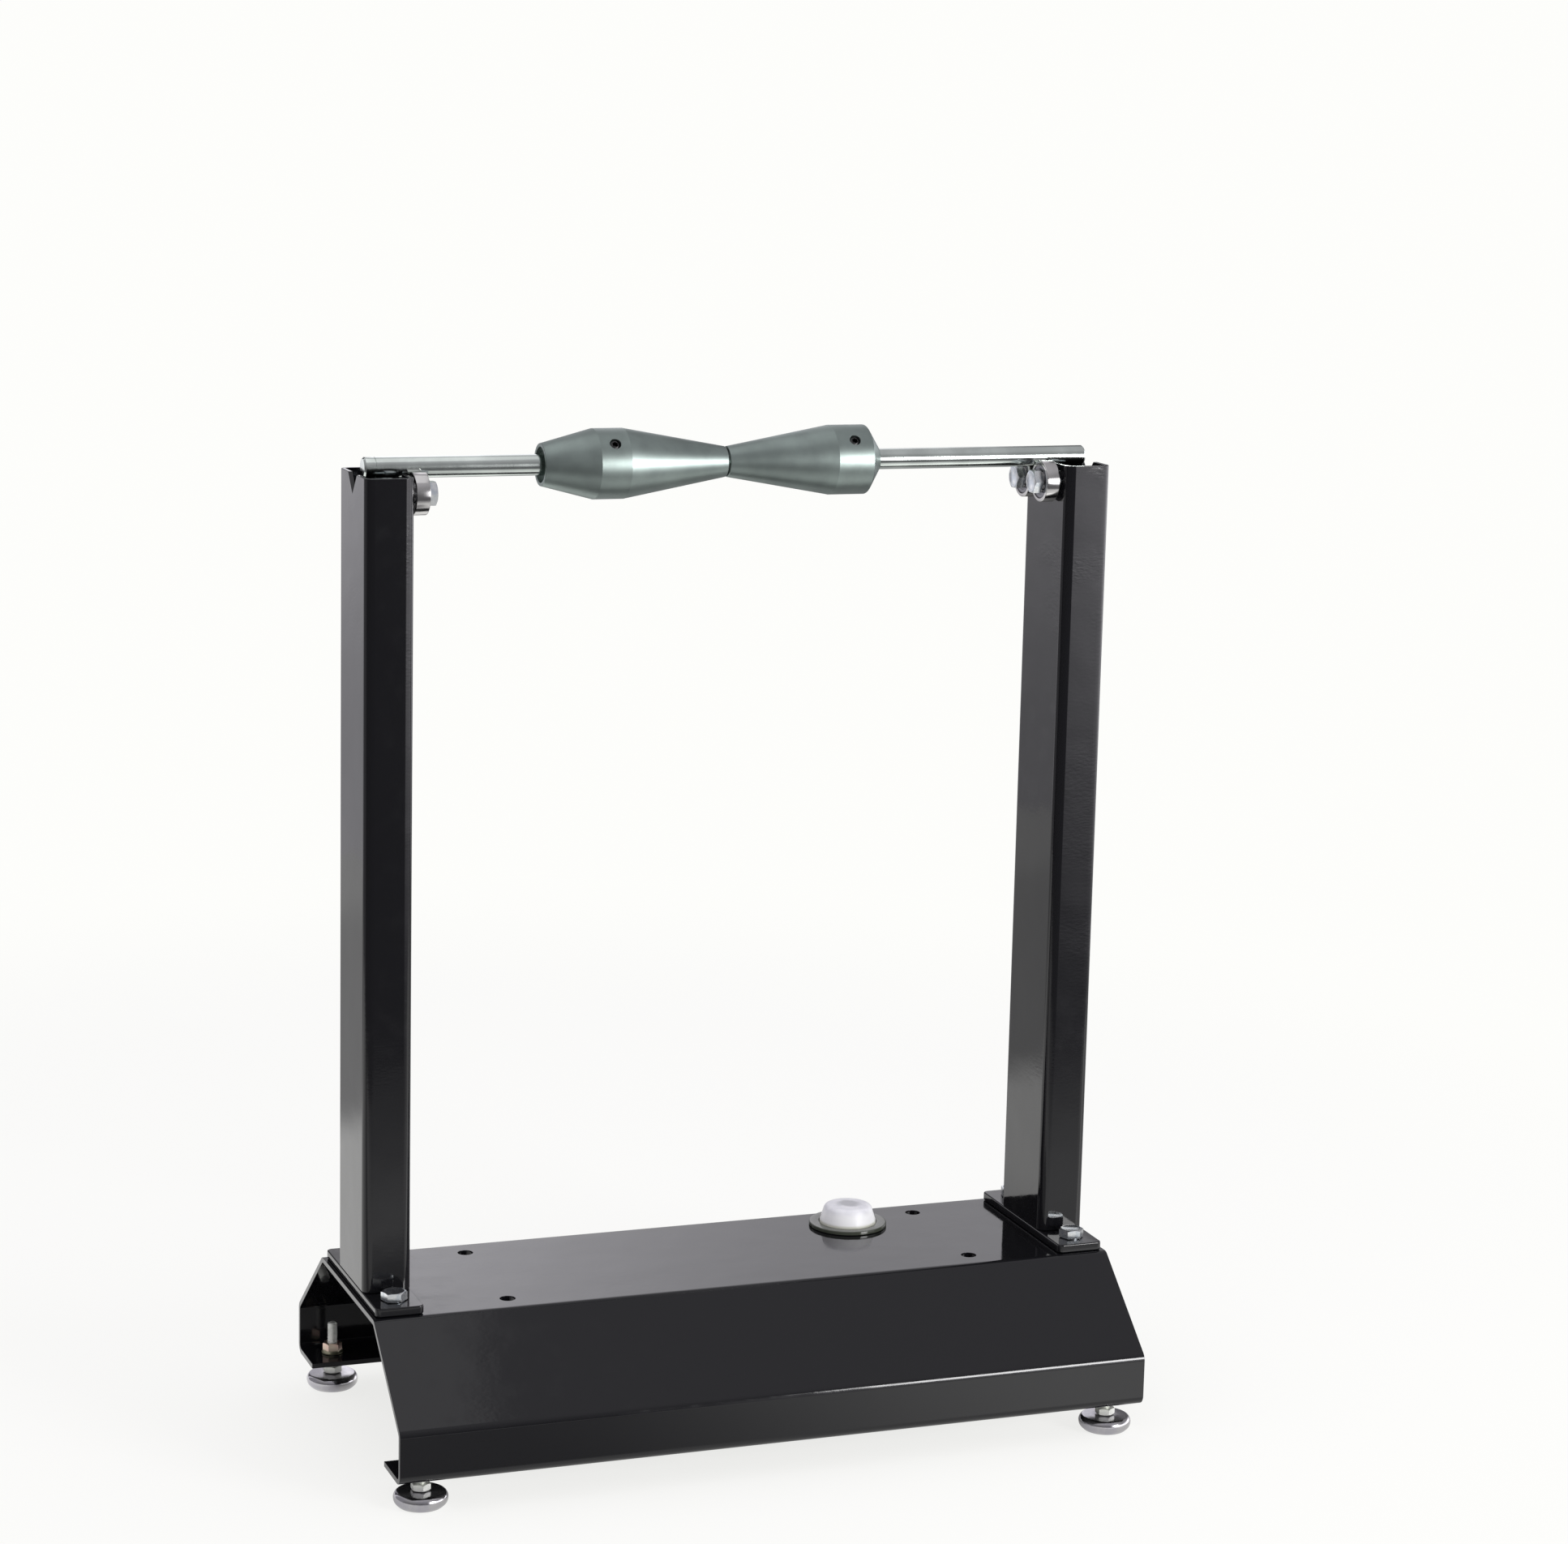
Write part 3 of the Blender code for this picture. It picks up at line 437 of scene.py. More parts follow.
# %% Black enamel
ENAMEL = (0.0045, 0.0045, 0.0055)
ENAMEL_GLOSS = 0.06
DUST = 0.05
DULL_PATCHES = 0.05
RIPPLES_ACROSS = (0.42, 0.42, 1.0)
PEEL = 0.04
THICK_COAT = 0.05
THICK_NEAR_TOP = 0.16
WAVINESS = 0.7
ENAMEL_RELIEF = 0.00022

enamel = Finish("black_enamel", ENAMEL, ENAMEL_GLOSS)
peel = enamel.noise(640.0, 1.0, RIPPLES_ACROSS)
spots = enamel.noise(26.0, 1.0)
wave = enamel.noise(34.0, 1.0)
dust = enamel.noise(90.0, 3.0).between(0.45, 0.75)
patches = enamel.noise(9.0, 1.0).between(0.4, 0.7)
enamel.set("Roughness", ENAMEL_GLOSS + dust * DUST + patches * DULL_PATCHES)
near_top = enamel.height().between(0.40, 0.50)
thick = spots.between(0.48, 0.66) * (THICK_COAT + near_top * THICK_NEAR_TOP)
enamel.relief(peel * (thick + PEEL) + wave * WAVINESS, ENAMEL_RELIEF)

# %% [markdown]
# ### Bright metals
# The shaft is ground and plated, so it is a mirror with hair-thin rings left by the grinding wheel.
# The cones are turned and only rubbed, so their rings are coarser and their gloss is broader.
# Both come from the same idea: noise that changes quickly along the axis and hardly at all around it.

# %% Turned steel
ROUND_THE_AXIS = (0.02, 0.02, 1.0)
STEEL_CLOUDS = 55.0
STEEL_DARKER = 0.82


def turned_finish(name, colour, roughness, rings, depth=0.000004, spread=0.06):
    """Steel with turning marks round its Z axis."""
    finish = Finish(name, colour, roughness, 1.0)
    marks = finish.noise(rings, 3.0, ROUND_THE_AXIS)
    cloud = finish.noise(STEEL_CLOUDS, 3.0)
    finish.set("Roughness", roughness + (marks - 0.5) * spread + (cloud - 0.5) * spread)
    finish.relief(marks, depth)
    dark = tuple(STEEL_DARKER * shade for shade in colour)
    finish.set("Base Color", finish.blend(cloud.between(0.35, 0.7), dark, colour))
    return finish


shaft_plating = turned_finish("shaft_plating", (0.76, 0.82, 0.78), 0.14, rings=900.0)
cone_steel = turned_finish("cone_steel", (0.31, 0.365, 0.345), 0.41, rings=700.0, depth=0.000005)
ring_steel = turned_finish("ring_steel", (0.66, 0.65, 0.64), 0.14, rings=1500.0)
shield_steel = turned_finish("shield_steel", (0.22, 0.22, 0.24), 0.26, rings=1500.0, spread=0.08)

# %% [markdown]
# ### Zinc and nickel
# The bolts are zinc plated: bluish, with a crystal-like cloudiness. The studs of the feet have a pale,
# more matt zinc. The flange nuts are yellow zinc, pinkish on the hexagon and greenish on the flange.
# The foot pads are plated darker, like gunmetal. Each is two tints mixed by a cloudy noise.

# %% Plated steel
PLATING_SPREAD = 0.18
PLATING_RELIEF = 0.00002
FINE_GRAIN = 5.0


def plated_finish(name, first, second, roughness, clouds):
    """Plating whose tint drifts between two colours."""
    finish = Finish(name, first, roughness, 1.0)
    cloud = finish.noise(clouds, 4.0)
    fine = finish.noise(clouds * FINE_GRAIN, 3.0)
    finish.set("Base Color", finish.blend(cloud.between(0.35, 0.65), first, second))
    finish.set("Roughness", roughness + (fine - 0.5) * PLATING_SPREAD)
    finish.relief(fine, PLATING_RELIEF)
    return finish


bright_zinc = plated_finish("bright_zinc", (0.64, 0.69, 0.74), (0.86, 0.88, 0.88), 0.24, clouds=260.0)
gunmetal = plated_finish("gunmetal", (0.48, 0.47, 0.51), (0.56, 0.55, 0.56), 0.17, clouds=90.0)
black_oxide = plated_finish("black_oxide", (0.05, 0.05, 0.05), (0.09, 0.09, 0.09), 0.35, clouds=300.0)

# %% Zinc of the feet's studs and nuts
STUD_METAL = 0.65
GREENISH = (0.44, 0.43, 0.30)

pale_zinc = plated_finish("pale_zinc", (0.76, 0.78, 0.72), (0.90, 0.91, 0.86), 0.42, clouds=200.0)
pale_zinc.set("Metallic", STUD_METAL)
yellow_zinc = plated_finish("yellow_zinc", (0.80, 0.58, 0.50), (0.74, 0.62, 0.50), 0.34, clouds=240.0)
above_flange = yellow_zinc.height().between(0.0012, 0.0026)
pinkish = yellow_zinc.linked("Base Color")
yellow_zinc.set("Base Color", yellow_zinc.blend(above_flange, GREENISH, pinkish))

# %% [markdown]
# ### Plastics of the bubble level
# The dome is milky: light goes a few millimetres into it and comes out softened. Its lower side is painted
# paler than its top, a painted light, its foot is warmer, and a darker patch in the middle of its top is
# the bubble.
# The flange under it is thick smoky plastic over black paint, which looks nearly black itself, so an
# opaque dark gloss is enough, a little darker at its rim.

# %% Milky dome
MILK = (0.73, 0.73, 0.76)
MILK_CLOUDS = (0.64, 0.64, 0.68)
MILK_SIDE_PAINTED_LIGHT = (0.86, 0.86, 0.87)
MILK_FOOT = (0.62, 0.62, 0.52)
BUBBLE = (0.34, 0.34, 0.36)
BUBBLE_SHARE = 0.8
BUBBLE_WOBBLE = 0.006
MILK_ROUGHNESS = 0.36
MILK_DULLER = 0.12
LIGHT_DEPTH = 0.009

milky = Finish("milky_acrylic", MILK, MILK_ROUGHNESS)
cloud = milky.noise(160.0, 3.0)
tall = milky.height()
outside_bubble = (milky.radius() + (cloud - 0.5) * BUBBLE_WOBBLE).between(0.004, 0.009)
bubble = (1.0 - outside_bubble) * tall.between(0.009, 0.0105)
body = milky.blend(cloud.between(0.3, 0.7), MILK_CLOUDS, MILK)
# Painted light: the dome's lower side is painted paler than its top.
body = milky.blend(tall.between(0.006, 0.0105), MILK_SIDE_PAINTED_LIGHT, body)
body = milky.blend(1.0 - tall.between(0.0008, 0.0028), body, MILK_FOOT)
milky.set("Base Color", milky.blend(bubble * BUBBLE_SHARE, body, BUBBLE))
milky.set("Roughness", MILK_ROUGHNESS + cloud * MILK_DULLER)
milky.set("Subsurface Weight", 0.8)
milky.set("Subsurface Radius", (1.0, 1.0, 1.0))
milky.set("Subsurface Scale", LIGHT_DEPTH)

# %% Smoky flange and dial
SMOKE = (0.085, 0.090, 0.076)
SMOKE_RIM = (0.045, 0.050, 0.038)
SMOKE_ROUGHNESS = 0.10
SMOKE_DULLER = 0.10

smoky = Finish("smoky_acrylic", SMOKE, SMOKE_ROUGHNESS)
smoky.set("Base Color", smoky.blend(smoky.radius().between(0.0224, 0.0234), SMOKE, SMOKE_RIM))
smoky.set("Roughness", SMOKE_ROUGHNESS + smoky.noise(60.0, 2.0).between(0.4, 0.8) * SMOKE_DULLER)
dial_face = Finish("dial_face", (0.55, 0.57, 0.58), 0.4)
finishes = (enamel, shaft_plating, cone_steel, ring_steel, shield_steel, bright_zinc, pale_zinc,
            yellow_zinc, gunmetal, black_oxide, milky, smoky, dial_face)
print("finishes:", [finish.material.name for finish in finishes])

# %% [markdown]
# ## Shapes
# Nearly every piece here is either a flat outline pushed along one axis or a profile turned round one.
# A turned piece is a stack of rows. Each row gives a radius and a height for any angle, so the same
# few lines make a shaft, a hexagon head with its curved chamfer and a screw thread.

# %% Rows round an axis
ROUND_STEPS = 96
WELD = 0.000001
TURNED_SHARP = 35.0
FLAT_SHARP = 30.0


def strip(work, first, second):
    """Faces between two loops of as many points."""
    count = len(first)
    for index in range(count):
        after = (index + 1) % count
        work.faces.new((first[index], first[after], second[after], second[index]))


def meshed(name, work, sharp):
    """Weld, turn the faces outward, and shade smooth but for the sharp edges."""
    bmesh.ops.remove_doubles(work, verts=work.verts, dist=WELD)
    bmesh.ops.recalc_face_normals(work, faces=work.faces)
    mesh = bpy.data.meshes.new(name)
    work.to_mesh(mesh)
    work.free()
    mesh.shade_smooth()
    mesh.set_sharp_from_angle(angle=math.radians(sharp))
    return mesh


def even(radius, height):
    """A round row."""
    return lambda angle: (radius, height)


def turned(name, rows, steps, ring=False):
    """A mesh of rows round Z. A ring's last row joins its first."""
    work = bmesh.new()
    loops = []
    for row in rows:
        loop = []
        for index in range(steps):
            angle = 2 * math.pi * index / steps
            radius, height = row(angle)
            loop.append(work.verts.new((radius * math.cos(angle), radius * math.sin(angle), height)))
        loops.append(loop)
    for low, high in zip(loops, loops[1:]):
        strip(work, low, high)
    if ring:
        strip(work, loops[-1], loops[0])
    else:
        work.faces.new(loops[0])
        work.faces.new(loops[-1])
    return meshed(name, work, TURNED_SHARP)


# %% [markdown]
# A designer rounds or breaks every edge, because a knife-sharp one never catches the light.
# The next helper does it for a profile: each listed corner is swapped for a short arc, whose radius is
# the corner's third number.

# %% Rounded profiles
ARC_STEPS = 6


def rounded(points, steps, closed=False):
    """Points of (u, v) or (u, v, radius), with an arc at each one that has a radius."""
    path = []
    last = len(points) - 1
    for index, point in enumerate(points):
        corner = Vector(point[:2])
        if len(point) == 2 or (not closed and index in (0, last)):
            path.append(tuple(corner))
            continue
        back = (Vector(points[index - 1][:2]) - corner).normalized()
        onward = (Vector(points[(index + 1) % len(points)][:2]) - corner).normalized()
        half_angle = back.angle(onward) / 2
        centre = corner + (back + onward).normalized() * (point[2] / math.sin(half_angle))
        spoke = corner + back * (point[2] / math.tan(half_angle)) - centre
        side = 1 if back.cross(onward) < 0 else -1
        sweep = side * (math.pi - 2 * half_angle)
        for step in range(steps + 1):
            path.append(tuple(centre + Matrix.Rotation(sweep * step / steps, 2) @ spoke))
    return path


def lathe(name, profile, steps=ROUND_STEPS, ring=False):
    """A rounded profile of (radius, height) turned about Z."""
    rows = [even(radius, height) for radius, height in rounded(profile, ARC_STEPS, ring)]
    return turned(name, rows, steps, ring)


# %% [markdown]
# ## Placing a piece
# A piece is placed, painted and tied to its body in one call. It hides the plain solid that it stands for,
# and its mesh takes the finish's material unless it already has one. A solid that is good as it is only
# gets a finish.

# %% Place a piece
BODY_OF = {node: body for body, nodes in frame["record"]["behaviour"]["bodies"].items() for node in nodes}


def dress(node, mesh, finish, location=(0.0, 0.0, 0.0), rotation=(0.0, 0.0, 0.0), name=None):
    """A finer piece in place of a CAD node."""
    piece = bpy.data.objects.new(name or node + "_fine", mesh)
    if not mesh.materials:
        mesh.materials.append(finish.material)
    piece.location = location
    piece.rotation_euler = rotation
    scene.collection.objects.link(piece)
    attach(piece, BODY_OF[node])
    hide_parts(node)
    return piece


def repaint(node, finish):
    """A finish for a solid that is shown as it is."""
    materials = frame["nodes"][node].data.materials
    materials.clear()
    materials.append(finish.material)


def middle(node):
    """The centre of a CAD node's box."""
    low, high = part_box(node)
    return (Vector(low) + Vector(high)) / 2


# %% Broken edges
BREAK_ANGLE = 40.0
FLAT_WEIGHT = 60


def soften(piece, width):
    """Break the sharp edges and keep the flat faces flat in the gloss."""
    bevel = piece.modifiers.new("edges", "BEVEL")
    bevel.width = width
    bevel.segments = 2
    bevel.limit_method = "ANGLE"
    bevel.angle_limit = math.radians(BREAK_ANGLE)
    normals = piece.modifiers.new("flats", "WEIGHTED_NORMAL")
    normals.keep_sharp = False
    normals.weight = FLAT_WEIGHT


# %% [markdown]
# ## The base channel
# One sheet of 3 mm steel is folded six times: a flat top, two slopes, two skirts and two flanges that
# turn inward. The section is drawn once, outside and inside, and pushed along the stand.
# The folds get many small steps here, because a mirror-like paint shows every facet.

# %% Section of the base channel
base_low, base_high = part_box("base_channel")
SHEET = 0.003
FOLD = 0.006
FOLD_STEPS = 8
RIDGE_Y = 0.060
SKIRT_TOP = 0.030
FLANGE = 0.034
crown = base_high[2] - base_low[2]
half_depth = base_high[1]
slope = math.atan2(crown - SKIRT_TOP, half_depth - RIDGE_Y)
low_inset = SHEET / math.tan((math.pi / 2 + slope) / 2)
high_inset = SHEET / math.tan((math.pi - slope) / 2)

outside = [(RIDGE_Y, crown, FOLD), (half_depth, SKIRT_TOP, FOLD), (half_depth, 0.0, FOLD),
           (half_depth - FLANGE, 0.0)]
inside = [(RIDGE_Y - high_inset, crown - SHEET, FOLD - SHEET),
          (half_depth - SHEET, SKIRT_TOP - low_inset, FOLD - SHEET),
          (half_depth - SHEET, SHEET, FOLD - SHEET), (half_depth - FLANGE, SHEET)]


def both_halves(half):
    """A rear half mirrored to the front, run from front to rear."""
    return [(-point[0], *point[1:]) for point in reversed(half)] + half


section = rounded(both_halves(outside), FOLD_STEPS) + rounded(both_halves(inside), FOLD_STEPS)[::-1]
print("base section:", len(section), "points, slope", round(math.degrees(slope), 1), "degrees")


# %% Push an outline along an axis
def pushed(name, outlines, low, high, axis):
    """Outlines pushed from low to high along X or Z; a second outline is a bore."""
    work = bmesh.new()
    rims = []
    for outline in outlines:
        ends = []
        for place in (low, high):
            flat = [(place, u, v) if axis == "X" else (u, v, place) for u, v in outline]
            ends.append([work.verts.new(point) for point in flat])
        strip(work, ends[0], ends[1])
        rims.append(ends)
    for end in (0, 1):
        if len(rims) == 1:
            work.faces.new(rims[0][end])
        else:
            strip(work, rims[0][end], rims[1][end])
    return meshed(name, work, FLAT_SHARP)


# %% Drill holes
DRILL_STEPS = 48


def drill(radius, place, reach, axis="Z"):
    """A cutter for a round hole, reaching as far on both sides of its place."""
    rod = turned("drill", [even(radius, -reach), even(radius, reach)], DRILL_STEPS)
    if axis == "X":
        rod.transform(Matrix.Rotation(math.pi / 2, 4, "Y"))
    rod.transform(Matrix.Translation(place))
    return rod


def drilled(mesh, cutters):
    """The mesh with cutters taken out of it."""
    item = bpy.data.objects.new("blank", mesh)
    scene.collection.objects.link(item)
    tools = []
    for cutter in cutters:
        tool = bpy.data.objects.new("tool", cutter)
        scene.collection.objects.link(tool)
        boolean = item.modifiers.new("cut", "BOOLEAN")
        boolean.operation = "DIFFERENCE"
        boolean.solver = "EXACT"
        boolean.object = tool
        tools.append(tool)
    bpy.context.view_layer.update()
    graph = bpy.context.evaluated_depsgraph_get()
    result = bpy.data.meshes.new_from_object(item.evaluated_get(graph))
    for extra in tools + [item]:
        bpy.data.objects.remove(extra)
    result.materials.clear()
    result.shade_smooth()
    result.set_sharp_from_angle(angle=math.radians(FLAT_SHARP))
    return result


# %% Base channel with its holes
SIDES = (("left", -1), ("right", 1))
ROWS = (("front", -1), ("rear", 1))
CORNERS = [(f"{side_name}_{row_name}", side, row) for side_name, side in SIDES for row_name, row in ROWS]
BOLT_HOLE = 0.0045
STUD_HOLE = 0.0035
SPARE_X = 0.1425
THROUGH_SHEET = 0.006
BASE_EDGE = 0.00045
bolt_y = abs(middle("left_front_plate_bolt")[1])
upright_x = middle("right_upright")[0]
foot_x, foot_y = abs(middle("left_front_foot_pad")[0]), abs(middle("left_front_foot_pad")[1])

sheet = pushed("base_sheet", [section], base_low[0], base_high[0], "X")
sheet.transform(Matrix.Translation((0.0, 0.0, base_low[2])))
cutters = []
for _, side, row in CORNERS:
    for x in (upright_x, SPARE_X):
        cutters.append(drill(BOLT_HOLE, (side * x, row * bolt_y, base_high[2]), THROUGH_SHEET))
    cutters.append(drill(STUD_HOLE, (side * foot_x, row * foot_y, base_low[2]), THROUGH_SHEET))
base = dress("base_channel", drilled(sheet, cutters), enamel)
soften(base, BASE_EDGE)
print("base faces:", len(base.data.polygons), "holes:", len(cutters))

# %% [markdown]
# ## Uprights and plates
# Each upright is a box tube with round corners, open at its top, where a V lets the shaft through.
# It stands on a flat plate. The tube is two round-cornered outlines, one inside the other.

# %% Uprights
TUBE_WALL = 0.0025
TUBE_CORNER = 0.0055
TUBE_CORNER_STEPS = 7
TUBE_EDGE = 0.0003
THROUGH_WALL = 0.005
NOTCH_HALF = 0.0095
NOTCH_DEPTH = 0.011
OVERRUN = 0.002


def box_outline(width, depth, radius, steps):
    """A round-cornered rectangle about the origin."""
    u, v = width / 2, depth / 2
    corners = [(u, -v, radius), (u, v, radius), (-u, v, radius), (-u, -v, radius)]
    return rounded(corners, steps, True)


tube_low, tube_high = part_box("left_upright")
tube_width, tube_depth = tube_high[0] - tube_low[0], tube_high[1] - tube_low[1]
outer = box_outline(tube_width, tube_depth, TUBE_CORNER, TUBE_CORNER_STEPS)
inner = box_outline(tube_width - 2 * TUBE_WALL, tube_depth - 2 * TUBE_WALL, TUBE_CORNER - TUBE_WALL,
                    TUBE_CORNER_STEPS)
roller_y = abs(middle("left_front_roller_hub")[1])
roller_z = middle("left_front_roller_hub")[2]
notch_foot = tube_high[2] - NOTCH_DEPTH
notch_top = tube_high[2] + OVERRUN
flare = (NOTCH_DEPTH + OVERRUN) * NOTCH_HALF / NOTCH_DEPTH
wedge = [(0.0, notch_foot), (flare, notch_top), (-flare, notch_top)]
for name, side in SIDES:
    centre = middle(name + "_upright")[0]
    tube = pushed(name + "_tube", [outer, inner], tube_low[2], tube_high[2], "Z")
    tube.transform(Matrix.Translation((centre, 0.0, 0.0)))
    notch = pushed("notch", [wedge], centre - tube_width, centre + tube_width, "X")
    inner_wall = centre - side * tube_width / 2
    holes = [drill(BOLT_HOLE, (inner_wall, row * roller_y, roller_z), THROUGH_WALL, "X") for _, row in ROWS]
    soften(dress(name + "_upright", drilled(tube, [notch] + holes), enamel), TUBE_EDGE)
print("uprights:", round(1000 * (tube_high[2] - tube_low[2]), 1), "mm tall")

# %% Plates
PLATE_CORNER = 0.003
PLATE_CORNER_STEPS = 5
PLATE_EDGE = 0.0008
THROUGH_PLATE = 0.010

plate_low, plate_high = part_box("left_upright_plate")
plate_outline = box_outline(plate_high[0] - plate_low[0], plate_high[1] - plate_low[1], PLATE_CORNER,
                            PLATE_CORNER_STEPS)
for name, _ in SIDES:
    centre = middle(name + "_upright_plate")[0]
    plate = pushed(name + "_plate", [plate_outline], plate_low[2], plate_high[2], "Z")
    plate.transform(Matrix.Translation((centre, 0.0, 0.0)))
    holes = [drill(BOLT_HOLE, (centre, row * bolt_y, plate_high[2]), THROUGH_PLATE) for _, row in ROWS]
    soften(dress(name + "_upright_plate", drilled(plate, holes), enamel), PLATE_EDGE)
print("plates:", round(1000 * (plate_high[2] - plate_low[2]), 1), "mm thick")

# %% [markdown]
# ## Bolts, nuts and threads
# A hexagon head is a hexagon whose upper corners are turned off on a lathe, which leaves the curved
# line on each side. In rows, that curve is only the height of the chamfer at the hexagon's radius.
# A thread is a row whose radius goes up and down once a turn, and every row is turned a little further.

# %% Hexagons and threads
FACE_SHARE = 0.95
CHAMFER_SLOPE = math.tan(math.radians(28.0))
THREAD_DEPTH = 0.61
THREAD_START = 0.8


def face_radius(flats):
    """The radius of the round flat face that the chamfer leaves on a hexagon."""
    return FACE_SHARE * flats / 2


def hexagon_row(flats, height, lean=0.0):
    """A hexagonal row; lean tells how the height falls towards the corners."""

    def row(angle):
        past_flat = (angle + math.pi / 6) % (math.pi / 3) - math.pi / 6
        radius = flats / 2 / math.cos(past_flat)
        return radius, height - lean * (radius - face_radius(flats)) * CHAMFER_SLOPE

    return row


def thread_rows(radius, pitch, low, high, share=0.9):
    """Rows of a right-hand thread from low to high, with a chamfer at the high end."""
    per_turn = 8
    depth = THREAD_DEPTH * pitch
    count = max(2, round((high - low) / pitch * per_turn))
    rows = []
    for index in range(count + 1):
        height = low + (high - low) * index / count
        chamfer = max(0.0, height - (high - THREAD_START * pitch))

        def row(angle, height=height, chamfer=chamfer):
            phase = (height / pitch - angle / (2 * math.pi)) % 1.0
            ridge = abs(2.0 * phase - 1.0)
            return radius - depth * (1.0 - ridge) * share - chamfer, height

        rows.append(row)
    return rows


def flipped(row):
    """A row on the other side of zero, where a thread comes out mirrored."""
    return lambda angle: (row(angle)[0], -row(angle)[1])


# %% Bolts and nuts
GAP = 0.0003
HEX_STEPS = 72
THREAD = 0.004
THREAD_PITCH = 0.00125
HEX_FLATS = 0.013
HEAD = 0.0053
HEAD_DISH = 0.0002
DISH_FLOOR = 0.0012
DISH_LIP = 0.0007
WASHER_FACE = 0.0003
NUT = 0.0065
NUT_MOUTH = 0.0006


def bolt(name, length, threaded):
    """A hexagon bolt along Z, its head above zero."""
    face = face_radius(HEX_FLATS)
    rows = [even(0.0, HEAD - HEAD_DISH), even(face - DISH_FLOOR, HEAD - HEAD_DISH),
            even(face - DISH_LIP, HEAD), even(face, HEAD), hexagon_row(HEX_FLATS, HEAD, 1.0),
            hexagon_row(HEX_FLATS, WASHER_FACE), even(face, WASHER_FACE), even(face, 0.0),
            even(THREAD, 0.0), even(THREAD, threaded - length)]
    rows += [flipped(row) for row in thread_rows(THREAD, THREAD_PITCH, length - threaded, length)]
    rows.append(even(0.0, -length))
    return turned(name, rows, HEX_STEPS)


def nut(name, flats, height, bore, foot_rows):
    """A hexagon nut from zero up, on foot rows of its own, chamfered above."""
    rows = [even(bore, 0.0)] + foot_rows
    rows += [hexagon_row(flats, height, 1.0), even(face_radius(flats), height),
             even(bore + NUT_MOUTH, height), even(bore, height - NUT_MOUTH)]
    return turned(name, rows, HEX_STEPS, ring=True)


# %% [markdown]
# The plate bolts go down through the plate and the top of the base, with a nut below. A spanner leaves
# every head at an angle of its own, and the photograph shows which, so the hexagons are turned to it.

# %% Bolts that hold the plates
SPIN = 0.32
SPIN_BY_SIDE = 0.03
SPIN_OF_REAR = 0.4

plate_bolt = bolt("plate_bolt", length=0.020, threaded=0.016)
plain_foot = [even(face_radius(HEX_FLATS), 0.0), hexagon_row(HEX_FLATS, 0.0, -1.0)]
plain_nut = nut("plain_nut", HEX_FLATS, NUT, THREAD + GAP, plain_foot)
head_seat = plate_high[2] + GAP
nut_seat = base_high[2] - SHEET - GAP
for corner, side, row in CORNERS:
    label = corner + "_plate"
    x = middle(label + "_bolt")[0]
    spin = SPIN + SPIN_BY_SIDE * side + SPIN_OF_REAR * (row > 0)
    dress(label + "_bolt", plate_bolt, bright_zinc, (x, row * bolt_y, head_seat), (0.0, 0.0, spin))
    dress(label + "_nut", plain_nut, bright_zinc, (x, row * bolt_y, nut_seat), (math.pi, 0.0, spin))
print("plate bolt faces:", len(plate_bolt.polygons))

# %% [markdown]
# ## Rollers
# Each end of the shaft lies on two small ball bearings. The real ones have a bright outer ring, a thin
# darker shield pressed into each side, and an inner ring clamped on the bolt. The ring and its shields
# turn together, so they ride on the same body, as two pieces with two finishes.

# %% Bearing rings and shields
ROLLER = 0.012
HALF_WIDTH = 0.004
RING_FACE = 0.0102
RING_EDGE = 0.0005
RING_LIP = 0.0004
HUB_OUTER = 0.0063
HUB_EDGE = 0.0003
SHIELD_OUT = 0.0036
SHIELD_IN = 0.0034
SHIELD_BACK = 0.0031

ring_profile = [(RING_FACE, HALF_WIDTH), (ROLLER, HALF_WIDTH, RING_EDGE), (ROLLER, -HALF_WIDTH, RING_EDGE),
                (RING_FACE, -HALF_WIDTH), (RING_FACE - RING_LIP, SHIELD_OUT - HALF_WIDTH),
                (RING_FACE - RING_LIP, HALF_WIDTH - SHIELD_OUT)]
ring_mesh = lathe("roller_ring", ring_profile, ring=True)
shield_rim = RING_FACE - 0.0001
shield_bore = HUB_OUTER + GAP
shield_side = [(shield_rim, SHIELD_IN), (0.0098, SHIELD_IN), (0.0094, SHIELD_OUT, 0.0002),
               (0.0078, SHIELD_OUT, 0.0002), (0.0074, SHIELD_IN), (shield_bore, SHIELD_IN),
               (shield_bore, SHIELD_BACK), (shield_rim, SHIELD_BACK)]
shield_work = bmesh.new()
for flip in (1, -1):
    profile = [(point[0], flip * point[1], *point[2:]) for point in shield_side]
    shield_work.from_mesh(lathe("shield", profile, ring=True))
shield_mesh = meshed("roller_shields", shield_work, TURNED_SHARP)
hub_bore = THREAD + GAP
hub_profile = [(hub_bore, HALF_WIDTH), (HUB_OUTER, HALF_WIDTH, HUB_EDGE),
               (HUB_OUTER, -HALF_WIDTH, HUB_EDGE), (hub_bore, -HALF_WIDTH)]
hub_mesh = lathe("roller_hub", hub_profile, HEX_STEPS, True)
print("shield faces:", len(shield_mesh.polygons))

# %% Rollers on their bolts
SPACER = 0.0015
SPACER_EDGE = 0.0002


def on_axle(x, row):
    """A place on the axis of a front or rear roller."""
    return x, row * roller_y, roller_z


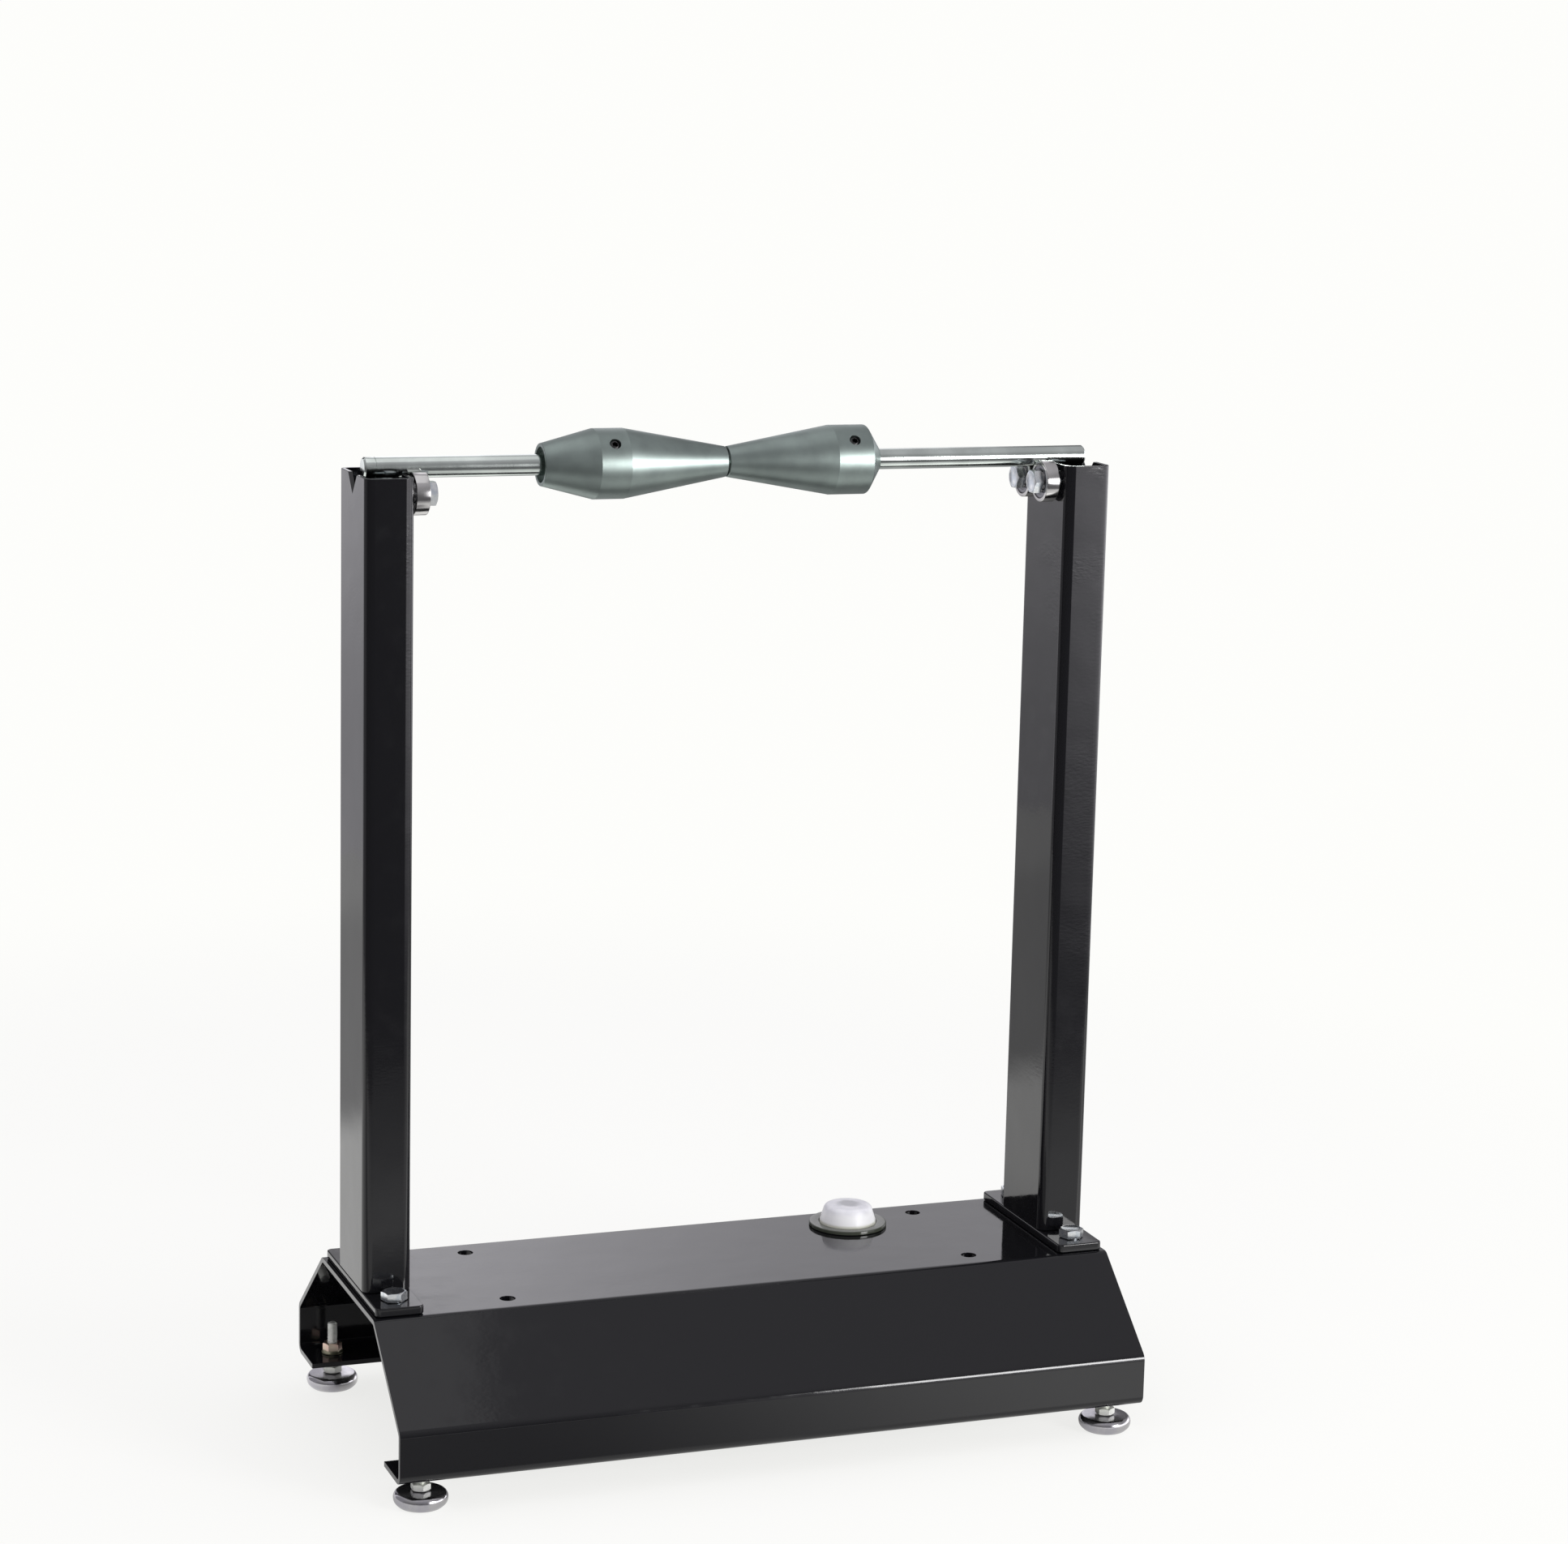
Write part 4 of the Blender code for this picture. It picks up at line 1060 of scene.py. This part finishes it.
spacer_profile = [(hub_bore, SPACER), (HUB_OUTER, SPACER, SPACER_EDGE), (HUB_OUTER, 0.0, SPACER_EDGE),
                  (hub_bore, 0.0)]
spacer_mesh = lathe("roller_spacer", spacer_profile, HEX_STEPS, True)
roller_bolt = bolt("roller_bolt", length=0.025, threaded=0.012)
beside_ring = HALF_WIDTH + GAP
for corner, side, row in CORNERS:
    label = corner + "_roller"
    x = middle(label + "_hub")[0]
    in_tube = side * (upright_x - tube_width / 2 + TUBE_WALL + GAP)
    outward = (0.0, side * math.pi / 2, 0.0)
    inward = (0.0, -side * math.pi / 2, 0.0)
    dress(label + "_ring", ring_mesh, ring_steel, on_axle(x, row), outward)
    dress(label + "_ring", shield_mesh, shield_steel, on_axle(x, row), outward, label + "_shields")
    dress(label + "_hub", hub_mesh, ring_steel, on_axle(x, row), outward)
    dress(label + "_spacer", spacer_mesh, bright_zinc, on_axle(x + side * beside_ring, row), outward)
    dress(label + "_bolt", roller_bolt, bright_zinc, on_axle(x - side * beside_ring, row), inward)
    dress(label + "_nut", plain_nut, bright_zinc, on_axle(in_tube, row), outward)
    repaint(label + "_balls", ring_steel)
print("rollers:", round(1000 * roller_z, 1), "mm up")

# %% [markdown]
# ## Shaft
# A ground shaft of 12 mm, with a chamfer at each end and one thin groove near its left end.

# %% Shaft
SHAFT = 0.006
SHAFT_CHAMFER = 0.0010
SHAFT_EDGE = 0.0003
GROOVE_FROM_END = 0.0065
GROOVE_DEPTH = 0.0004
GROOVE_MOUTH = 0.0003
GROOVE_FLOOR = 0.0002

shaft_low, shaft_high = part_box("balancing_shaft")
half = (shaft_high[0] - shaft_low[0]) / 2
shaft_z = middle("balancing_shaft")[2]
groove = half - GROOVE_FROM_END
end_radius = SHAFT - SHAFT_CHAMFER
shaft_profile = [(0.0, half), (end_radius, half, SHAFT_EDGE), (SHAFT, half - SHAFT_CHAMFER, SHAFT_EDGE),
                 (SHAFT, groove + GROOVE_MOUTH), (SHAFT - GROOVE_DEPTH, groove + GROOVE_FLOOR),
                 (SHAFT - GROOVE_DEPTH, groove - GROOVE_FLOOR), (SHAFT, groove - GROOVE_MOUTH),
                 (SHAFT, SHAFT_CHAMFER - half, SHAFT_EDGE), (end_radius, -half, SHAFT_EDGE), (0.0, -half)]
shaft_mesh = lathe("shaft", shaft_profile)
dress("balancing_shaft", shaft_mesh, shaft_plating, (0.0, 0.0, shaft_z), (0.0, -math.pi / 2, 0.0))
print("shaft:", round(2000 * half, 1), "mm long, axis", round(1000 * shaft_z, 1), "mm up")

# %% [markdown]
# ## Cones
# The cones centre the wheel's hub. The left one has a long tapered back with a counterbored rim, the
# right one a short chamfered back. Each has a threaded hole in its wide band for a set screw, which is
# drilled after turning, as on the real ones.

# %% Profiles of the cones
CONE = 0.020
BORE = SHAFT + GAP
TIP = BORE + 0.00245
LEFT_BACK_RADIUS = 0.012
RIGHT_BACK_RADIUS = BORE + 0.0010
RECESS = 0.0100
RECESS_DEPTH = 0.003
CONE_STEPS = 128
left_taper, left_band, left_back = 0.0613, 0.0177, 0.0304
right_taper, right_band, right_back = 0.0620, 0.0215, 0.0087


def cone_profile(taper, band, back, back_radius, recess):
    """The cone's outline from its back, over its band, to its tip."""
    end = taper + band + back
    return [(back_radius, end, 0.0004), (CONE, taper + band, 0.0006), (CONE, taper, 0.0008),
            (TIP, 0.0, 0.0005), (BORE, 0.0)] + recess


left_end = left_taper + left_band + left_back
right_end = right_taper + right_band + right_back
recess_floor = left_end - RECESS_DEPTH
left_recess = [(BORE, recess_floor), (RECESS, recess_floor), (RECESS, left_end, 0.0003)]
left_profile = cone_profile(left_taper, left_band, left_back, LEFT_BACK_RADIUS, left_recess)
right_profile = cone_profile(right_taper, right_band, right_back, RIGHT_BACK_RADIUS, [(BORE, right_end)])

# %% Set screw and the hole for it
SCREW = 0.003
SCREW_PITCH = 0.001
SCREW_CHAMFER = 0.001
SCREW_PLAY = 0.00005
SCREW_TOP = CONE - 0.0008
SCREW_FOOT = SHAFT + GAP
SOCKET_FLATS = 0.003
SOCKET_MOUTH = 0.0031
SOCKET_DEPTH = 0.003
SOCKET_POINT = 0.0035
COUNTERSINK = 0.0010

screw_rows = [even(0.0, SCREW_FOOT), even(SCREW - SCREW_CHAMFER, SCREW_FOOT)]
screw_rows += thread_rows(SCREW - SCREW_PLAY, SCREW_PITCH, SCREW_FOOT + SCREW_CHAMFER, SCREW_TOP)
screw_rows += [hexagon_row(SOCKET_MOUTH, SCREW_TOP), hexagon_row(SOCKET_FLATS, SCREW_TOP - 0.0002),
               hexagon_row(SOCKET_FLATS, SCREW_TOP - SOCKET_DEPTH), even(0.0, SCREW_TOP - SOCKET_POINT)]
screw_mesh = turned("set_screw", screw_rows, DRILL_STEPS)
hole_rows = [even(SCREW + GAP, SHAFT - 0.001), even(SCREW + GAP, CONE - 0.0002),
             even(SCREW + COUNTERSINK, CONE + 0.0004), even(SCREW + COUNTERSINK, CONE + 0.003)]

# %% Cones on the shaft
SCREW_ANGLE = math.radians(40.0)

screw_turn = math.pi / 2 - SCREW_ANGLE
for name, side, profile, taper, band in (("left", -1, left_profile, left_taper, left_band),
                                         ("right", 1, right_profile, right_taper, right_band)):
    low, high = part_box(name + "_cone")
    tip_x = high[0] if side < 0 else low[0]
    screw_x = tip_x + side * (taper + band / 2)
    home = Matrix.Translation((tip_x, 0.0, shaft_z)) @ Matrix.Rotation(side * math.pi / 2, 4, "Y")
    cone = lathe(name + "_cone", profile, CONE_STEPS, True)
    cone.transform(home)
    hole = turned("drill", hole_rows, DRILL_STEPS)
    hole.transform(Matrix.Translation((screw_x, 0.0, shaft_z)) @ Matrix.Rotation(screw_turn, 4, "X"))
    cone = drilled(cone, [hole])
    cone.transform(home.inverted())
    dress(name + "_cone", cone, cone_steel, (tip_x, 0.0, shaft_z), (0.0, side * math.pi / 2, 0.0))
    dress(name + "_cone_screw", screw_mesh, black_oxide, (screw_x, 0.0, shaft_z), (screw_turn, 0.0, 0.0))
    print(name, "cone:", round(1000 * (high[0] - low[0]), 1), "mm long")

# %% [markdown]
# ## Bubble level
# A milky dome sits in a smoky flange. Its top edge is well rounded, and under it lies a dial, which is
# the plain solid with a grey finish, because hardly any of it can be seen.

# %% Level
LEVEL_RADIUS = 0.0235
LEVEL_FLOOR = 0.0012
VIAL_FOOT = 0.0172
VIAL_TOP = 0.0140
VIAL_SHOULDER = 0.0032
VIAL_BORE = 0.012

level_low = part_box("level_flange")[0][2]
level_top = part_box("level_flange")[1][2] - level_low
vial_low, vial_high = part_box("level_vial")
vial_height = vial_high[2] - vial_low[2]
spot = middle("level_flange")
pocket = VIAL_FOOT + GAP
level_profile = [(0.0, LEVEL_FLOOR), (pocket, LEVEL_FLOOR), (pocket, level_top, 0.0002),
                 (LEVEL_RADIUS, level_top, 0.0006), (LEVEL_RADIUS, 0.0, 0.0003), (0.0, 0.0)]
vial_profile = [(0.0, vial_height), (0.006, vial_height - 0.0001),
                (VIAL_TOP, vial_height - 0.0006, VIAL_SHOULDER), (VIAL_FOOT - 0.0004, 0.0022, 0.0015),
                (VIAL_FOOT, 0.0), (VIAL_BORE, 0.0), (VIAL_BORE, 0.007, 0.001), (0.0, 0.0092)]
dress("level_flange", lathe("level_flange", level_profile), smoky, (spot[0], spot[1], level_low))
dress("level_vial", lathe("level_vial", vial_profile), milky, (spot[0], spot[1], vial_low[2]))
repaint("level_dial", dial_face)
print("level:", round(2000 * LEVEL_RADIUS, 1), "mm wide, dome", round(1000 * vial_height, 1), "mm tall")

# %% [markdown]
# ## Levelling feet
# A turned pad carries a stud with a hexagon collar, and the stud screws through a flange nut on the
# base. Turning the collar lifts that corner of the stand, which is how the base is levelled.

# %% Pads and studs
PAD_TOP = 0.0090
PAD_POCKET = 0.0040
STUD = 0.003
STUD_PITCH = 0.001
STUD_GROOVE = 0.5
COLLAR_FLATS = 0.010
COLLAR = 0.004
NECK = 0.0010
THREAD_FOOT = 0.0012

pad_bore = STUD + GAP
pad_profile = [(0.0, PAD_POCKET), (pad_bore, PAD_POCKET), (pad_bore, PAD_TOP, 0.0003),
               (0.0138, 0.0085, 0.0024), (0.0156, 0.0060, 0.0040), (0.0150, 0.0025, 0.0038),
               (0.0124, 0.0, 0.0020), (0.0, 0.0)]
pad_mesh = lathe("foot_pad", pad_profile)
stud_low, stud_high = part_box("left_front_foot_stud")
collar_low = PAD_TOP + GAP
collar_high = collar_low + COLLAR
collar_face = face_radius(COLLAR_FLATS)
neck = STUD - 0.0003
stud_rows = [even(0.0, stud_low[2]), even(STUD, stud_low[2]), even(STUD, collar_low),
             even(collar_face, collar_low), hexagon_row(COLLAR_FLATS, collar_low, -1.0),
             hexagon_row(COLLAR_FLATS, collar_high, 1.0),
             even(collar_face, collar_high), even(neck, collar_high), even(neck, collar_high + NECK)]
stud_rows += thread_rows(STUD, STUD_PITCH, collar_high + THREAD_FOOT, stud_high[2], STUD_GROOVE)
stud_rows.append(even(0.0, stud_high[2]))
stud_mesh = turned("foot_stud", stud_rows, HEX_STEPS)

# %% Flange nuts, and the feet in place
NUT_FLATS = 0.010
FLANGE_NUT = 0.0063
NUT_FLANGE = 0.0065
NUT_SPIN_BY_SIDE = 0.4
NUT_SPIN_BY_ROW = 0.25

flange_foot = [even(NUT_FLANGE, 0.0), even(NUT_FLANGE, 0.0007), even(NUT_FLANGE - 0.0004, 0.0010),
               hexagon_row(NUT_FLATS * 1.04, 0.0016), hexagon_row(NUT_FLATS, 0.0021)]
foot_nut = nut("foot_nut", NUT_FLATS, FLANGE_NUT, STUD + GAP, flange_foot)
for corner, side, row in CORNERS:
    label = corner + "_foot"
    x, y = side * foot_x, row * foot_y
    spin = NUT_SPIN_BY_SIDE * side - NUT_SPIN_BY_ROW * row
    dress(label + "_pad", pad_mesh, gunmetal, (x, y, 0.0))
    dress(label + "_stud", stud_mesh, pale_zinc, (x, y, 0.0))
    dress(label + "_nut", foot_nut, yellow_zinc, (x, y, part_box(label + "_nut")[0][2]), (0.0, 0.0, spin))
print("stud faces:", len(stud_mesh.polygons))
